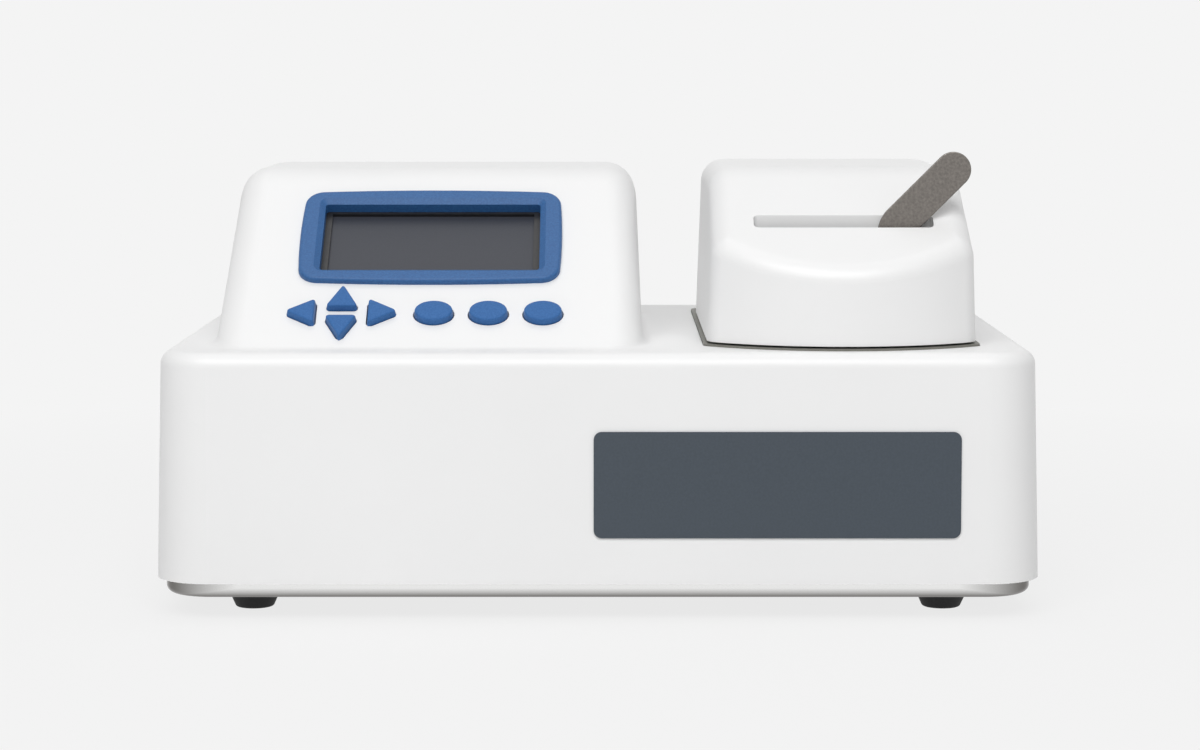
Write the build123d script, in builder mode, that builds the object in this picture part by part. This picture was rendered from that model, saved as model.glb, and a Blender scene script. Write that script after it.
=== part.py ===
from build123d import *
from math import cos, radians, sin, sqrt, tan
import os

os.makedirs("parts", exist_ok=True)

# Bench-top water activity meter: a low white case with a sloping display and keypad on the left and,
# on the right, a hinged lid that closes the sample chamber and is locked by a steel lever.
# Sizes are millimetres and angles degrees. X runs to the right, Y to the back and Z up.
# The origin is on the bench, under the middle of the case.

# Case
case_width = 267.0
case_depth = 178.0
case_height = 69.0
case_corner = 17.0
case_wall = 3.0
case_draft = 1.6
deck_rounding = 4.5

# Feet and bottom pan
foot_height = 6.8
foot_top_diameter = 17.6
foot_bottom_diameter = 11.5
foot_rounding = 0.9
foot_recess_diameter = 6.8
foot_recess_depth = 3.4
foot_inset_x = 28.0
foot_inset_y = 27.0
foot_boss_diameter = 9.0
foot_boss_height = 4.0
foot_screw_length = 8.0
pan_drop = 4.7
pan_inset = 2.6
pan_rolled_edge = 2.2
pan_sheet = 1.5
pan_reveal = 0.4
pan_lip_height = 5.0
pan_lip_clearance = 0.2
vent_slot_length = 38.0
vent_slot_width = 2.6
vent_slot_pitch = 5.2
vent_slot_count = 8

# Housing posts and the screws that hold the pan to them
post_diameter = 9.0
post_inset = 19.0
screw_diameter = 2.9
screw_hole_diameter = 3.0
screw_head_diameter = 5.6
screw_head_height = 1.7
screw_length = 10.0
screw_head_taper = 12.0
screw_play = 0.05
flush_head_diameter = 5.2
flush_head_angle = 90.0

# Layout of the deck from left to right. A wider or a narrower case shares out its room in these
# proportions between the keys and the chamber plate, which keep their own sizes.
hump_side_gap = 17.0
key_left_gap = 21.2
key_right_gap = 24.45
hump_lid_gap = 18.45
plate_side_gap = 17.25

# Display hump
hump_front_gap = 13.0
hump_back_gap = 35.0
hump_height = 52.0
hump_draft = 1.8
hump_rounding = 10.0
hump_back_corner = 12.5
hump_crease_rounding = 20.0
hump_root_rounding = 4.0
root_room_share = 0.85
roof_face_tilt = 0.3
panel_angle = 37.0

# Display: bezel, frame and glass, measured in the plane of the sloping panel
display_shift = -0.7
display_up = 51.2
bezel_width = 80.0
bezel_height = 41.6
bezel_side_bow = 0.9
bezel_top_bow = 1.1
bezel_corner = 6.0
bezel_proud = 2.0
bezel_outer_rounding = 1.2
bezel_window_width = 67.9
bezel_window_height = 31.4
bezel_window_corner = 1.0
bezel_bevel = 1.8
bezel_bevel_drop = 1.3
bezel_skirt_depth = 2.4
screen_width = 63.8
screen_height = 29.2
frame_lip = 1.0
frame_wall = 1.0
frame_side = 3.4
frame_depth = 6.0
glass_thickness = 4.6
fit_clearance = 0.2

# Keys, measured in the plane of the sloping panel
key_row_up = 15.6
arrow_to_oval = 44.65
arrow_up_width = 10.4
arrow_up_length = 10.4
arrow_side_width = 11.4
arrow_side_length = 9.4
arrow_up_offset = 1.85
arrow_side_offset = 7.95
arrow_corner = 1.1
arrow_plunger_share = 0.36
oval_width = 11.9
oval_height = 9.0
oval_pitch = 16.6
key_proud = 2.4
key_taper = 11.0
key_edge_rounding = 0.5
key_clearance = 0.35
key_travel = 1.0
key_flange_rim = 0.9
key_flange_thickness = 1.2
key_flange_gap = 0.3
key_plunger_diameter = 4.0
key_plunger_length = 1.0
switch_size = 6.0
switch_height = 1.5
switch_body_share = 0.6
board_thickness = 1.6
board_margin = 2.8
board_post_diameter = 5.0
display_post_span_x = 79.0
display_post_span_up = 28.0
keypad_low = 3.0
keypad_high = 28.5

# Front label plate
label_width = 109.3
label_height = 31.8
label_corner = 2.4
label_thickness = 0.5
label_side_gap = 25.45
label_up = 29.75

# Chamber plate and deck opening
plate_width = 84.1
plate_arc_radius = 62.0
plate_front_gap = 8.0
plate_back_gap = 26.0
plate_corner = 4.0
plate_thickness = 2.5
plate_proud = 0.6
plate_ledge = 4.0
plate_clearance = 0.15

# Lid
lid_setback = 1.05
lid_lift = 1.25
lid_top = 53.0
lid_back_gap = 38.0
lid_draft = 2.0
lid_wall = 3.5
lid_corner = 8.6
lid_back_corner = 11.0
lid_rounding = 7.2
lid_crease_rounding = 22.0
lid_slope = 30.0
lid_slope_start = 23.5
lid_post_diameter = 7.0
lid_post_side_gap = 9.05
lid_post_front_gap = 27.95
lid_post_back_gap = 13.0
lid_screw_length = 8.0
lid_plate_thickness = 2.0
lid_plate_recess = 0.35
lid_plate_clearance = 0.2

# Lever, its slot and the latch
slot_length = 54.9
slot_width = 5.9
slot_corner = 1.5
slot_shift = 0.8
slot_middle_gap = 33.05
lever_thickness = 1.5
lever_width = 10.9
lever_edge_rounding = 0.3
lever_lean = 45.0
lever_pivot_height = 19.8
lever_bend_reach = 15.85
lever_bend_rise = 15.85
lever_handle_length = 24.7
lever_hub_diameter = 10.0
lever_pin_diameter = 4.0
lever_pin_clearance = 0.08
lever_rivet_diameter = 5.9
lever_rivet_drop = 4.2
lever_rivet_proud = 0.9
rivet_head_taper = 30.0
rivet_shank_diameter = 3.0
rivet_tail_diameter = 4.6
rivet_tail_height = 0.4
latch_arm_width = 8.0
hook_arm_width = 5.0
lever_bracket_span = 14.0
lever_bracket_sheet = 2.0
lever_bracket_width = 13.0
lever_bracket_foot = 4.0
lever_side_clearance = 0.3
strike_drop = 12.0
strike_pin_diameter = 3.5
strike_span = 7.0
strike_sheet = 1.5
strike_width = 8.0
strike_base_sheet = 1.0
strike_pin_length = 9.0
hook_clearance = 0.35
hook_thickness = 3.2
hook_start = 150.0
hook_end = 235.0
latch_well_width = 24.0

# Sample chamber and sensor head
sensor_latch_gap = 0.5
cup_diameter = 41.0
cup_depth = 12.0
chamber_rim_diameter = 53.0
chamber_rim_proud = 0.8
chamber_block_size = 60.0
chamber_block_height = 23.0
chamber_block_corner = 3.0
chamber_screw_span = 48.0
chamber_rim_chamfer = 0.4
sensor_boss_diameter = 50.0
sensor_boss_gap = 0.8
sensor_flange_size = 54.0
sensor_flange_thickness = 4.0
sensor_flange_corner = 4.0
sensor_block_height = 16.0
sensor_cavity_diameter = 36.0
sensor_cavity_depth = 7.0
seal_diameter = 45.5
seal_section = 2.4
seal_proud = 0.5
seal_squeeze = 0.02
mirror_diameter = 9.0
mirror_height = 3.0
sensor_part_offset = 9.0
infrared_diameter = 8.2
infrared_height = 4.0
infrared_window_diameter = 4.0
infrared_window_depth = 1.0
circulation_fan_diameter = 11.0
circulation_fan_height = 3.0
circulation_hub_diameter = 4.0
circulation_shaft_diameter = 1.5
circulation_blade_count = 6
circulation_blade_thickness = 0.5
sensor_board_width = 50.0
sensor_board_depth = 40.0

# Thermoelectric module, heat sink and cooling fan below the chamber
module_size = 40.0
module_height = 3.8
module_plate = 0.8
sink_size = 58.0
sink_base = 4.0
sink_height = 20.0
fin_count = 9
fin_thickness = 1.6
fan_size = 50.0
fan_height = 10.0
fan_corner = 4.0
fan_bore = 46.0
fan_hub_diameter = 20.0
fan_blade_count = 7
fan_blade_thickness = 1.2
blade_chord = 1.5
blade_pitch = 35.0
fan_end_play = 0.5
fan_tip_clearance = 0.8
fan_shaft_diameter = 3.0
fan_shaft_clearance = 0.08
fan_base_thickness = 2.0
fan_strut_width = 3.0

# Lid hinge
hinge_pin_diameter = 5.0
hinge_pin_clearance = 0.08
hinge_knuckle_diameter = 9.0
hinge_height = 6.6
hinge_gap = 32.5
hinge_ear_spacing = 66.0
hinge_ear_thickness = 4.0
hinge_arm_spacing = 50.0
hinge_arm_thickness = 6.0
hinge_arm_clearance = 0.5
hinge_base_sheet = 1.0
hinge_leaf_depth = 10.0
hinge_leaf_sheet = 2.5
leaf_screw_reach = 15.0
pin_chamfer = 0.4

# Rear panel and its connectors
rear_panel_side_gap = 38.5
rear_panel_width = 114.0
rear_panel_height = 44.0
rear_panel_sheet = 1.5
rear_panel_up = 31.0
rear_panel_overlap = 5.0
rear_panel_corner = 4.0
rear_seat_gap = 5.2
rear_screw_length = 4.5
inlet_offset = 24.0
inlet_flange_width = 52.0
inlet_flange_height = 28.0
inlet_flange_thickness = 1.5
inlet_flange_corner = 2.0
inlet_body_width = 48.0
inlet_body_height = 24.0
inlet_body_depth = 24.0
socket_offset = -11.0
socket_width = 24.0
socket_height = 16.5
socket_corner = 4.0
socket_depth = 17.0
contact_width = 2.0
contact_height = 4.0
contact_length = 14.0
contact_spacing = 14.0
contact_rise = 4.0
fuse_offset = 6.0
fuse_width = 7.0
fuse_height = 16.5
fuse_depth = 15.0
fuse_grip_height = 9.0
fuse_grip_proud = 1.2
fuse_clearance = 0.15
rocker_offset = 17.0
rocker_width = 10.0
rocker_height = 18.0
rocker_clearance = 0.3
rocker_tilt = 10.0
rocker_pin_diameter = 2.0
rocker_pin_length = 1.0
rocker_pivot_depth = 1.0
serial_offset = -34.0
serial_flange_width = 31.0
serial_flange_height = 12.5
serial_shell_width = 18.0
serial_shell_height = 9.0
serial_shell_length = 3.4
serial_shell_lean = 80.0
serial_shell_rounding = 1.5
serial_flange_thickness = 0.8
serial_body_width = 19.0
serial_body_depth = 9.0
serial_pitch = 2.77
serial_row_gap = 2.84
serial_hole_diameter = 1.2
usb_offset = -9.0
usb_width = 12.0
usb_height = 11.0
usb_depth = 14.0
usb_wall = 0.8
usb_proud = 1.0
usb_tongue_width = 5.6
usb_tongue_height = 3.2
usb_tongue_length = 9.0

# Main board and power supply
main_board_width = 100.0
main_board_depth = 62.0
main_board_height = 12.0
main_board_side_gap = 27.5
main_board_front_gap = 12.0
board_screw_inset = 6.0
standoff_diameter = 6.0
supply_width = 92.0
supply_depth = 50.0
supply_height = 30.0
supply_side_gap = 34.5
supply_board_gap = 6.0
supply_sheet = 1.2
supply_tab = 7.0
supply_slot_pitch = 7.0
supply_slot_count = 11
supply_slot_share = 0.6
supply_slot_depth = 1.0

# Places worked out from the sizes above
case_left = -case_width / 2
case_right = case_width / 2
front = -case_depth / 2
back = case_depth / 2
pan_bottom = foot_height
pan_floor = pan_bottom + pan_sheet
case_bottom = pan_bottom + pan_drop
deck = case_bottom + case_height
slope_foot = front + hump_front_gap
hump_top = deck + hump_height
key_row_width = arrow_side_offset + arrow_side_length + arrow_to_oval + oval_pitch + oval_width / 2
deck_gaps = hump_side_gap + key_left_gap + key_right_gap + hump_lid_gap + plate_side_gap
deck_share = (case_width - plate_width - key_row_width) / deck_gaps
hump_left = case_left + hump_side_gap * deck_share
lid_x = case_right - plate_side_gap * deck_share - plate_width / 2
hump_right = lid_x - plate_width / 2 - hump_lid_gap * deck_share
key_row_left = hump_left + key_left_gap * deck_share
arrow_cross_x = key_row_left + arrow_side_offset + arrow_side_length
oval_middle_x = arrow_cross_x + arrow_to_oval
hump_back = back - hump_back_gap
hump_middle = (hump_left + hump_right) / 2
display_x = hump_middle + display_shift
panel_turn = radians(panel_angle)
panel = Plane(origin=(0, slope_foot, deck), x_dir=(1, 0, 0), z_dir=(0, -sin(panel_turn), cos(panel_turn)))
plate_top = deck + plate_proud
plate_front = front + plate_front_gap
plate_back = back - plate_back_gap
lid_bottom = deck + lid_lift
lid_roof = deck + lid_top
lid_front = plate_front + lid_setback
lid_back = back - lid_back_gap
lid_plate_bottom = lid_bottom + lid_plate_recess
lid_plate_top = lid_plate_bottom + lid_plate_thickness
slot_y = front + slot_middle_gap
slot_x = lid_x + slot_shift
lever_pivot_z = deck + lever_pivot_height
strike_z = lever_pivot_z - strike_drop
latch_back = slot_y + (lever_bracket_span + lever_bracket_sheet) / 2
chamber_y = latch_back + sensor_latch_gap + sensor_flange_size / 2
chamber_rim = plate_top + chamber_rim_proud
hinge_y = back - hinge_gap
hinge_z = deck + hinge_height
label_x = case_right - label_side_gap - label_width / 2
rear_panel_x = case_right - rear_panel_side_gap - rear_panel_width / 2
main_board_x = case_left + main_board_side_gap + main_board_width / 2
main_board_y = front + main_board_front_gap + main_board_depth / 2
supply_x = case_left + supply_side_gap + supply_tab + supply_width / 2
supply_y = main_board_y + (main_board_depth + supply_depth) / 2 + supply_board_gap
key_flange_reach = key_clearance + key_flange_rim
board_drop = case_wall + key_flange_gap + key_flange_thickness + key_plunger_length + key_travel
board_drop += key_flange_gap + switch_height


def keep(piece, name):
    """Name a finished piece and write it to its own file"""
    piece.part.label = name
    export_step(piece.part, f"parts/{name}.step")


def upright(y):
    """Plane across the case at y, seen from the front: X to the right, Z up, its outer side to the front"""
    return Plane(origin=(0, y, 0), x_dir=(1, 0, 0), z_dir=(0, -1, 0))


def downward(z):
    """Plane at a height, seen from below: X to the right, its outer side down"""
    return Plane(origin=(0, 0, z), x_dir=(1, 0, 0), z_dir=(0, 0, -1))


def from_below(spots):
    """The same spots as they lie on a plane that faces down"""
    return [(x, -y) for x, y in spots]


def outermost(faces, direction):
    """The face that lies furthest along a direction"""
    return faces.sort_by(Axis((0, 0, 0), direction))[-1]


def corners_of(x, y, span_x, span_y):
    """The four corners of a rectangle about a point"""
    return [(x + i * span_x / 2, y + j * span_y / 2) for i in (-1, 1) for j in (-1, 1)]


def pan_head_screws(plane, spots, length):
    """Screws whose heads stand on the plane and whose shanks go in behind it"""
    with BuildPart() as screws:
        with BuildSketch(plane):
            with Locations(*spots):
                Circle(screw_head_diameter / 2)
        extrude(amount=screw_head_height, taper=screw_head_taper)
        with BuildSketch(plane):
            with Locations(*spots):
                Circle(screw_diameter / 2)
        extrude(amount=-length)
    return screws


def flush_screws(plane, spots, length):
    """Countersunk screws whose heads end level with the plane"""
    with BuildPart() as screws:
        with BuildSketch(plane):
            with Locations(*spots):
                Circle(flush_head_diameter / 2)
        extrude(amount=-(flush_head_diameter - screw_diameter) / 2, taper=flush_head_angle / 2)
        with BuildSketch(plane):
            with Locations(*spots):
                Circle(screw_diameter / 2)
        extrude(amount=-length)
    return screws


def round_holes(plane, spots, diameter, depth):
    """Cut round holes into the part being built, from the plane inwards"""
    with BuildSketch(plane) as holes:
        with Locations(*spots):
            Circle(diameter / 2)
    extrude(holes.sketch, amount=-depth, mode=Mode.SUBTRACT)


def flush_holes(plane, spots, depth):
    """Cut the holes that countersunk screws sit in"""
    with BuildSketch(plane) as heads:
        with Locations(*spots):
            Circle(flush_head_diameter / 2 + screw_play)
    extrude(heads.sketch, amount=-(flush_head_diameter - screw_diameter) / 2, taper=flush_head_angle / 2,
            mode=Mode.SUBTRACT)
    round_holes(plane, spots, screw_diameter + 2 * screw_play, depth)


# Forms of the case, the hump and the lid. Each is drawn for the outside, and drawn in by a wall it is the
# hollow inside, so that a wall has one thickness all over.


def case_form(inset):
    """Case from its lower edge to the deck, with leaning walls and a rounded upper edge"""
    with BuildPart() as form:
        with BuildSketch(Plane.XY.offset(case_bottom)):
            RectangleRounded(case_width - 2 * inset, case_depth - 2 * inset, case_corner - inset)
        extrude(amount=case_height - inset, taper=case_draft)
        fillet(form.edges().group_by(Axis.Z)[-1], deck_rounding - inset)
    return form.part


def slope_y(z, inset):
    """Where the display panel's slope is at a height"""
    return slope_foot + (z - deck) / tan(panel_turn) + inset / sin(panel_turn)


def soften_roof(form, radius):
    """Round the rim of a roof whose slope, crease and top run into each other"""
    roof = form.faces().filter_by(lambda face: face.normal_at().Z > roof_face_tilt)
    rim = roof.edges().filter_by(Axis.X, reverse=True)
    rim.append(roof.edges().filter_by(Axis.X).sort_by(Axis.Y)[-1])
    fillet(rim, radius)


def hump_form(inset):
    """Display hump, which starts a little below the deck so that it grows out of it"""
    base = deck - case_wall - 1 if inset else deck - case_wall / 2
    top = hump_top - inset
    width = hump_right - hump_left - 2 * inset
    foot = slope_y(base, inset) - 1
    rear = hump_back - inset
    with BuildPart() as form:
        with BuildSketch(Plane.XY.offset(base)):
            with Locations((hump_middle, (foot + rear) / 2)):
                Rectangle(width, rear - foot)
            fillet(vertices().group_by(Axis.Y)[-1], hump_back_corner - inset)
        extrude(amount=top - base, taper=hump_draft)
        with BuildSketch(Plane.YZ.offset(hump_middle)):
            with BuildLine():
                Polyline(
                    (slope_y(base, inset), base),
                    (slope_y(top, inset), top),
                    (rear + case_wall, top),
                    (rear + case_wall, base),
                    close=True,
                )
            make_face()
            crease = vertices().group_by(Axis.Y)[-1].sort_by(Axis.X)[0]
            fillet(crease, hump_crease_rounding - inset)
        extrude(amount=width, both=True, mode=Mode.INTERSECT)
        soften_roof(form, hump_rounding - inset)
    return form.part


def lid_plan(grow, rear, front_corner, back_corner):
    """Draw the outline shared by the lid and its plate: straight sides and a front bowed to the user"""
    half = plate_width / 2 + grow
    radius = plate_arc_radius + grow
    bow_front = plate_front - grow
    bow_end = bow_front + radius - sqrt(radius**2 - half**2)
    with BuildLine() as outline:
        ThreePointArc((lid_x - half, bow_end), (lid_x, bow_front), (lid_x + half, bow_end))
        Polyline((lid_x + half, bow_end), (lid_x + half, rear), (lid_x - half, rear), (lid_x - half, bow_end))
    make_face(outline.edges())
    fillet(vertices().group_by(Axis.Y)[0], front_corner)
    fillet(vertices().group_by(Axis.Y)[-1], back_corner)


def lid_form(inset):
    """Lid above its lower edge, with a slope that falls to the bowed front"""
    top = lid_roof - inset
    fall = tan(radians(lid_slope))
    crease_z = deck + lid_slope_start - inset / cos(radians(lid_slope))
    crease_y = lid_front + (top - crease_z) / fall
    rear = lid_back - inset
    with BuildPart() as form:
        with BuildSketch(Plane.XY.offset(lid_bottom)):
            lid_plan(-lid_setback - inset, rear, lid_corner - inset, lid_back_corner - inset)
        extrude(amount=top - lid_bottom, taper=lid_draft)
        with BuildSketch(Plane.YZ.offset(lid_x)):
            with BuildLine():
                Polyline(
                    (lid_front - lid_wall, lid_bottom),
                    (lid_front - lid_wall, crease_z - lid_wall * fall),
                    (crease_y, top),
                    (lid_back + lid_wall, top),
                    (lid_back + lid_wall, lid_bottom),
                    close=True,
                )
            make_face()
            crease = vertices().group_by(Axis.Y)[-1].sort_by(Axis.X)[0]
            fillet(crease, lid_crease_rounding - inset)
        extrude(amount=plate_width, both=True, mode=Mode.INTERSECT)
        soften_roof(form, lid_rounding - inset)
    return form.part


# Keys


def draw_key(key, grow=0.0):
    """Draw a key's foot in the sketch of the panel, larger all round by grow"""
    if key["turn"] is None:
        with Locations(key["centre"]):
            Ellipse(oval_width / 2 + grow, oval_height / 2 + grow)
    else:
        start = key["offset"]
        with Locations(Location((arrow_cross_x, key_row_up, 0), (0, 0, key["turn"]))):
            Polygon(
                (start, -key["width"] / 2),
                (start + key["length"], 0),
                (start, key["width"] / 2),
                align=None,
            )
        fillet(vertices(), arrow_corner)
        if grow:
            offset(amount=grow)


def arrow_key(turn, width, length, start):
    """One of the four arrow keys about the middle of the cross, pointing outwards at an angle"""
    reach = start + length * arrow_plunger_share
    centre = (arrow_cross_x + reach * cos(radians(turn)), key_row_up + reach * sin(radians(turn)))
    return {"turn": turn, "width": width, "length": length, "offset": start, "centre": centre}


def oval_key(place):
    """One of the three oval keys, counted from the middle one"""
    return {"turn": None, "centre": (oval_middle_x + place * oval_pitch, key_row_up)}


keys = {
    "right_arrow_key": arrow_key(0, arrow_side_width, arrow_side_length, arrow_side_offset),
    "up_arrow_key": arrow_key(90, arrow_up_width, arrow_up_length, arrow_up_offset),
    "left_arrow_key": arrow_key(180, arrow_side_width, arrow_side_length, arrow_side_offset),
    "down_arrow_key": arrow_key(270, arrow_up_width, arrow_up_length, arrow_up_offset),
    "left_oval_key": oval_key(-1),
    "middle_oval_key": oval_key(0),
    "right_oval_key": oval_key(1),
}


def make_key(key):
    """Soft key: a tapered cap above the panel, a stem through it, a flange and a plunger behind it"""
    flange_top = case_wall + key_flange_gap
    flange_back = flange_top + key_flange_thickness
    with BuildPart() as cap:
        with BuildSketch(panel):
            draw_key(key)
        extrude(amount=key_proud, taper=key_taper)
        fillet(outermost(cap.faces(), panel.z_dir).edges(), key_edge_rounding)
        with BuildSketch(panel):
            draw_key(key)
        extrude(amount=-flange_top)
        with BuildSketch(panel.offset(-flange_top)):
            draw_key(key, key_flange_reach)
        extrude(amount=-key_flange_thickness)
        with BuildSketch(panel.offset(-flange_back)):
            with Locations(key["centre"]):
                Circle(key_plunger_diameter / 2)
        extrude(amount=-key_plunger_length)
    return cap


for name, key in keys.items():
    keep(make_key(key), name)


# Upper housing: case and hump in one moulding


post_spots = corners_of(0, 0, case_width - 2 * post_inset, case_depth - 2 * post_inset)
display_post_spots = corners_of(display_x, display_up, display_post_span_x, display_post_span_up)
keypad_up = (keypad_low + keypad_high) / 2
keypad_post_left = (hump_left + case_wall + key_row_left - key_flange_reach) / 2
keypad_post_right = (hump_right - case_wall + key_row_left + key_row_width + key_flange_reach) / 2
keypad_post_spots = [(keypad_post_left, keypad_up), (keypad_post_right, keypad_up)]
frame_width = screen_width + 2 * frame_side
frame_height = screen_height + 2 * frame_side
display_board_drop = bezel_skirt_depth + frame_depth
rear_panel_z = case_bottom + rear_panel_up
rear_seat_y = back - rear_seat_gap
rear_panel_inside = rear_seat_y - rear_panel_sheet
rear_screw_spots = corners_of(
    rear_panel_x,
    rear_panel_z,
    rear_panel_width - rear_panel_overlap,
    rear_panel_height - rear_panel_overlap,
)

with BuildPart() as housing_hollow:
    add(case_form(case_wall))
    add(hump_form(case_wall))
    # The posts in the corners, the board posts behind the panel and the seat of the rear panel stay solid
    with BuildSketch(Plane.XY.offset(case_bottom)):
        with Locations(*post_spots):
            Circle(post_diameter / 2)
    extrude(amount=case_height + hump_height, mode=Mode.SUBTRACT)
    with BuildSketch(panel):
        with Locations(*display_post_spots):
            Circle(board_post_diameter / 2)
    extrude(amount=-display_board_drop, mode=Mode.SUBTRACT)
    with BuildSketch(panel):
        with Locations(*keypad_post_spots):
            Circle(board_post_diameter / 2)
    extrude(amount=-board_drop, mode=Mode.SUBTRACT)
    with BuildSketch(upright(rear_seat_y)):
        with Locations((rear_panel_x, rear_panel_z)):
            Rectangle(rear_panel_width + 2 * fit_clearance, rear_panel_height + 2 * fit_clearance)
    extrude(amount=-rear_seat_gap, mode=Mode.SUBTRACT)

with BuildPart() as upper_housing:
    add(case_form(0))
    add(hump_form(0))
    root = upper_housing.edges().filter_by_position(Axis.Z, deck - 0.01, deck + 0.01)
    root = root.filter_by_position(Axis.Y, slope_foot - 1, hump_back + 1)
    root = root.filter_by_position(Axis.X, hump_left - 1, hump_right + 1)
    # On a narrow case the hollow round the hump's root ends where the rounded rim of the deck begins
    deck_edge = deck_rounding + case_height * tan(radians(case_draft))
    root_room = hump_left - case_left - deck_edge
    fillet(root, min(hump_root_rounding, root_room * root_room_share))
    add(housing_hollow.part, mode=Mode.SUBTRACT)
    # Posts reach down to the pan and take its screws
    with BuildSketch(Plane.XY.offset(pan_floor)):
        with Locations(*post_spots):
            Circle(post_diameter / 2)
    extrude(amount=case_bottom - pan_floor)
    round_holes(downward(pan_floor), post_spots, screw_hole_diameter, screw_length)
    # Openings in the sloping panel
    with BuildSketch(panel):
        with Locations((display_x, display_up)):
            Rectangle(frame_width + 2 * fit_clearance, frame_height + 2 * fit_clearance)
    extrude(amount=-(case_wall + 1), mode=Mode.SUBTRACT)
    for key in keys.values():
        with BuildSketch(panel.offset(1)):
            draw_key(key, key_clearance)
        extrude(amount=-(case_wall + 2), mode=Mode.SUBTRACT)
    # Deck opening with the ledge that carries the chamber plate
    with BuildSketch(Plane.XY.offset(plate_top - plate_thickness)):
        lid_plan(plate_clearance, plate_back + plate_clearance, plate_corner, plate_corner)
    extrude(amount=plate_thickness, mode=Mode.SUBTRACT)
    with BuildSketch(Plane.XY.offset(deck - 2 * case_wall)):
        lid_plan(-plate_ledge, plate_back - plate_ledge, plate_corner, plate_corner)
    extrude(amount=2 * case_wall, mode=Mode.SUBTRACT)
    # Rear opening, with screw holes in its seat
    with BuildSketch(upright(rear_seat_y - 1)):
        with Locations((rear_panel_x, rear_panel_z)):
            RectangleRounded(
                rear_panel_width - 2 * rear_panel_overlap,
                rear_panel_height - 2 * rear_panel_overlap,
                rear_panel_corner,
            )
    extrude(amount=-(rear_seat_gap + 2), mode=Mode.SUBTRACT)
    round_holes(upright(rear_seat_y), rear_screw_spots, screw_hole_diameter, rear_screw_length)
keep(upper_housing, "upper_housing")


# Bottom pan with its feet and screws


pan_lip_inset = case_wall + pan_lip_clearance
pan_hollow_inset = pan_lip_inset + pan_sheet
underside = downward(pan_bottom)
board_seat = Plane.XY.offset(pan_floor + main_board_height)
foot_spots = corners_of(0, 0, case_width - 2 * foot_inset_x, case_depth - 2 * foot_inset_y)
board_spots = corners_of(
    main_board_x,
    main_board_y,
    main_board_width - 2 * board_screw_inset,
    main_board_depth - 2 * board_screw_inset,
)
supply_spots = corners_of(supply_x, supply_y, supply_width + supply_tab, supply_depth - supply_tab)

with BuildPart() as bottom_pan:
    with BuildSketch(Plane.XY.offset(pan_bottom)):
        RectangleRounded(case_width - 2 * pan_inset, case_depth - 2 * pan_inset, case_corner - pan_inset)
    extrude(amount=pan_drop - pan_reveal)
    fillet(bottom_pan.edges().group_by(Axis.Z)[0], pan_rolled_edge)
    with BuildSketch(Plane.XY.offset(case_bottom - pan_reveal)):
        RectangleRounded(
            case_width - 2 * pan_lip_inset,
            case_depth - 2 * pan_lip_inset,
            case_corner - pan_lip_inset,
        )
    extrude(amount=pan_reveal + pan_lip_height)
    with BuildSketch(Plane.XY.offset(pan_floor)):
        RectangleRounded(
            case_width - 2 * pan_hollow_inset,
            case_depth - 2 * pan_hollow_inset,
            case_corner - pan_hollow_inset,
        )
    extrude(amount=pan_drop + pan_lip_height, mode=Mode.SUBTRACT)
    # Bosses for the feet and the main board
    with BuildSketch(Plane.XY.offset(pan_floor)):
        with Locations(*foot_spots):
            Circle(foot_boss_diameter / 2)
    extrude(amount=foot_boss_height)
    with BuildSketch(Plane.XY.offset(pan_floor)):
        with Locations(*board_spots):
            Circle(standoff_diameter / 2)
    extrude(amount=main_board_height)
    # Holes for the screws, and the slots that the cooling fan draws through
    round_holes(underside, foot_spots, screw_hole_diameter, pan_sheet + foot_boss_height)
    round_holes(underside, post_spots, screw_hole_diameter, pan_sheet)
    round_holes(underside, from_below(supply_spots), screw_hole_diameter, pan_sheet)
    round_holes(board_seat, board_spots, screw_hole_diameter, screw_length)
    with BuildSketch(Plane.XY.offset(pan_bottom)):
        with Locations((lid_x, chamber_y)):
            with GridLocations(vent_slot_pitch, vent_slot_pitch, vent_slot_count, 1):
                SlotOverall(vent_slot_length, vent_slot_width, rotation=90)
    extrude(amount=pan_sheet, mode=Mode.SUBTRACT)
keep(bottom_pan, "bottom_pan")

keep(pan_head_screws(underside, post_spots, screw_length), "pan_screws")

with BuildPart() as rubber_feet:
    with Locations(*[(x, y, 0) for x, y in foot_spots]):
        Cone(
            foot_bottom_diameter / 2,
            foot_top_diameter / 2,
            foot_height,
            align=(Align.CENTER, Align.CENTER, Align.MIN),
        )
    fillet(rubber_feet.edges().group_by(Axis.Z)[0], foot_rounding)
    round_holes(downward(0), foot_spots, foot_recess_diameter, foot_recess_depth)
    round_holes(downward(0), foot_spots, screw_hole_diameter, foot_height)
keep(rubber_feet, "rubber_feet")

keep(pan_head_screws(downward(foot_recess_depth), foot_spots, foot_screw_length), "foot_screws")


# Label plate on the leaning front wall


lean = radians(case_draft)
front_wall = Plane(origin=(0, front, case_bottom), x_dir=(1, 0, 0), z_dir=(0, -cos(lean), sin(lean)))
with BuildPart() as label_plate:
    with BuildSketch(front_wall):
        with Locations((label_x, label_up)):
            RectangleRounded(label_width, label_height, label_corner)
    extrude(amount=label_thickness)
keep(label_plate, "label_plate")


# Display: blue bezel, black frame, grey glass and the boards behind the panel


def bowed_outline(width, height, side_bow, top_bow, corner):
    """Draw a rectangle whose four sides bulge a little, about the display's middle"""
    x, y = width / 2, height / 2
    with BuildLine() as outline:
        ThreePointArc((-x, y), (0, y + top_bow), (x, y))
        ThreePointArc((x, y), (x + side_bow, 0), (x, -y))
        ThreePointArc((x, -y), (0, -y - top_bow), (-x, -y))
        ThreePointArc((-x, -y), (-x - side_bow, 0), (-x, y))
    make_face(outline.edges())
    fillet(vertices(), corner)


display_plane = panel.shift_origin(panel.from_local_coords((display_x, display_up, 0)))
window_low = display_plane.offset(-bezel_skirt_depth)

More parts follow.
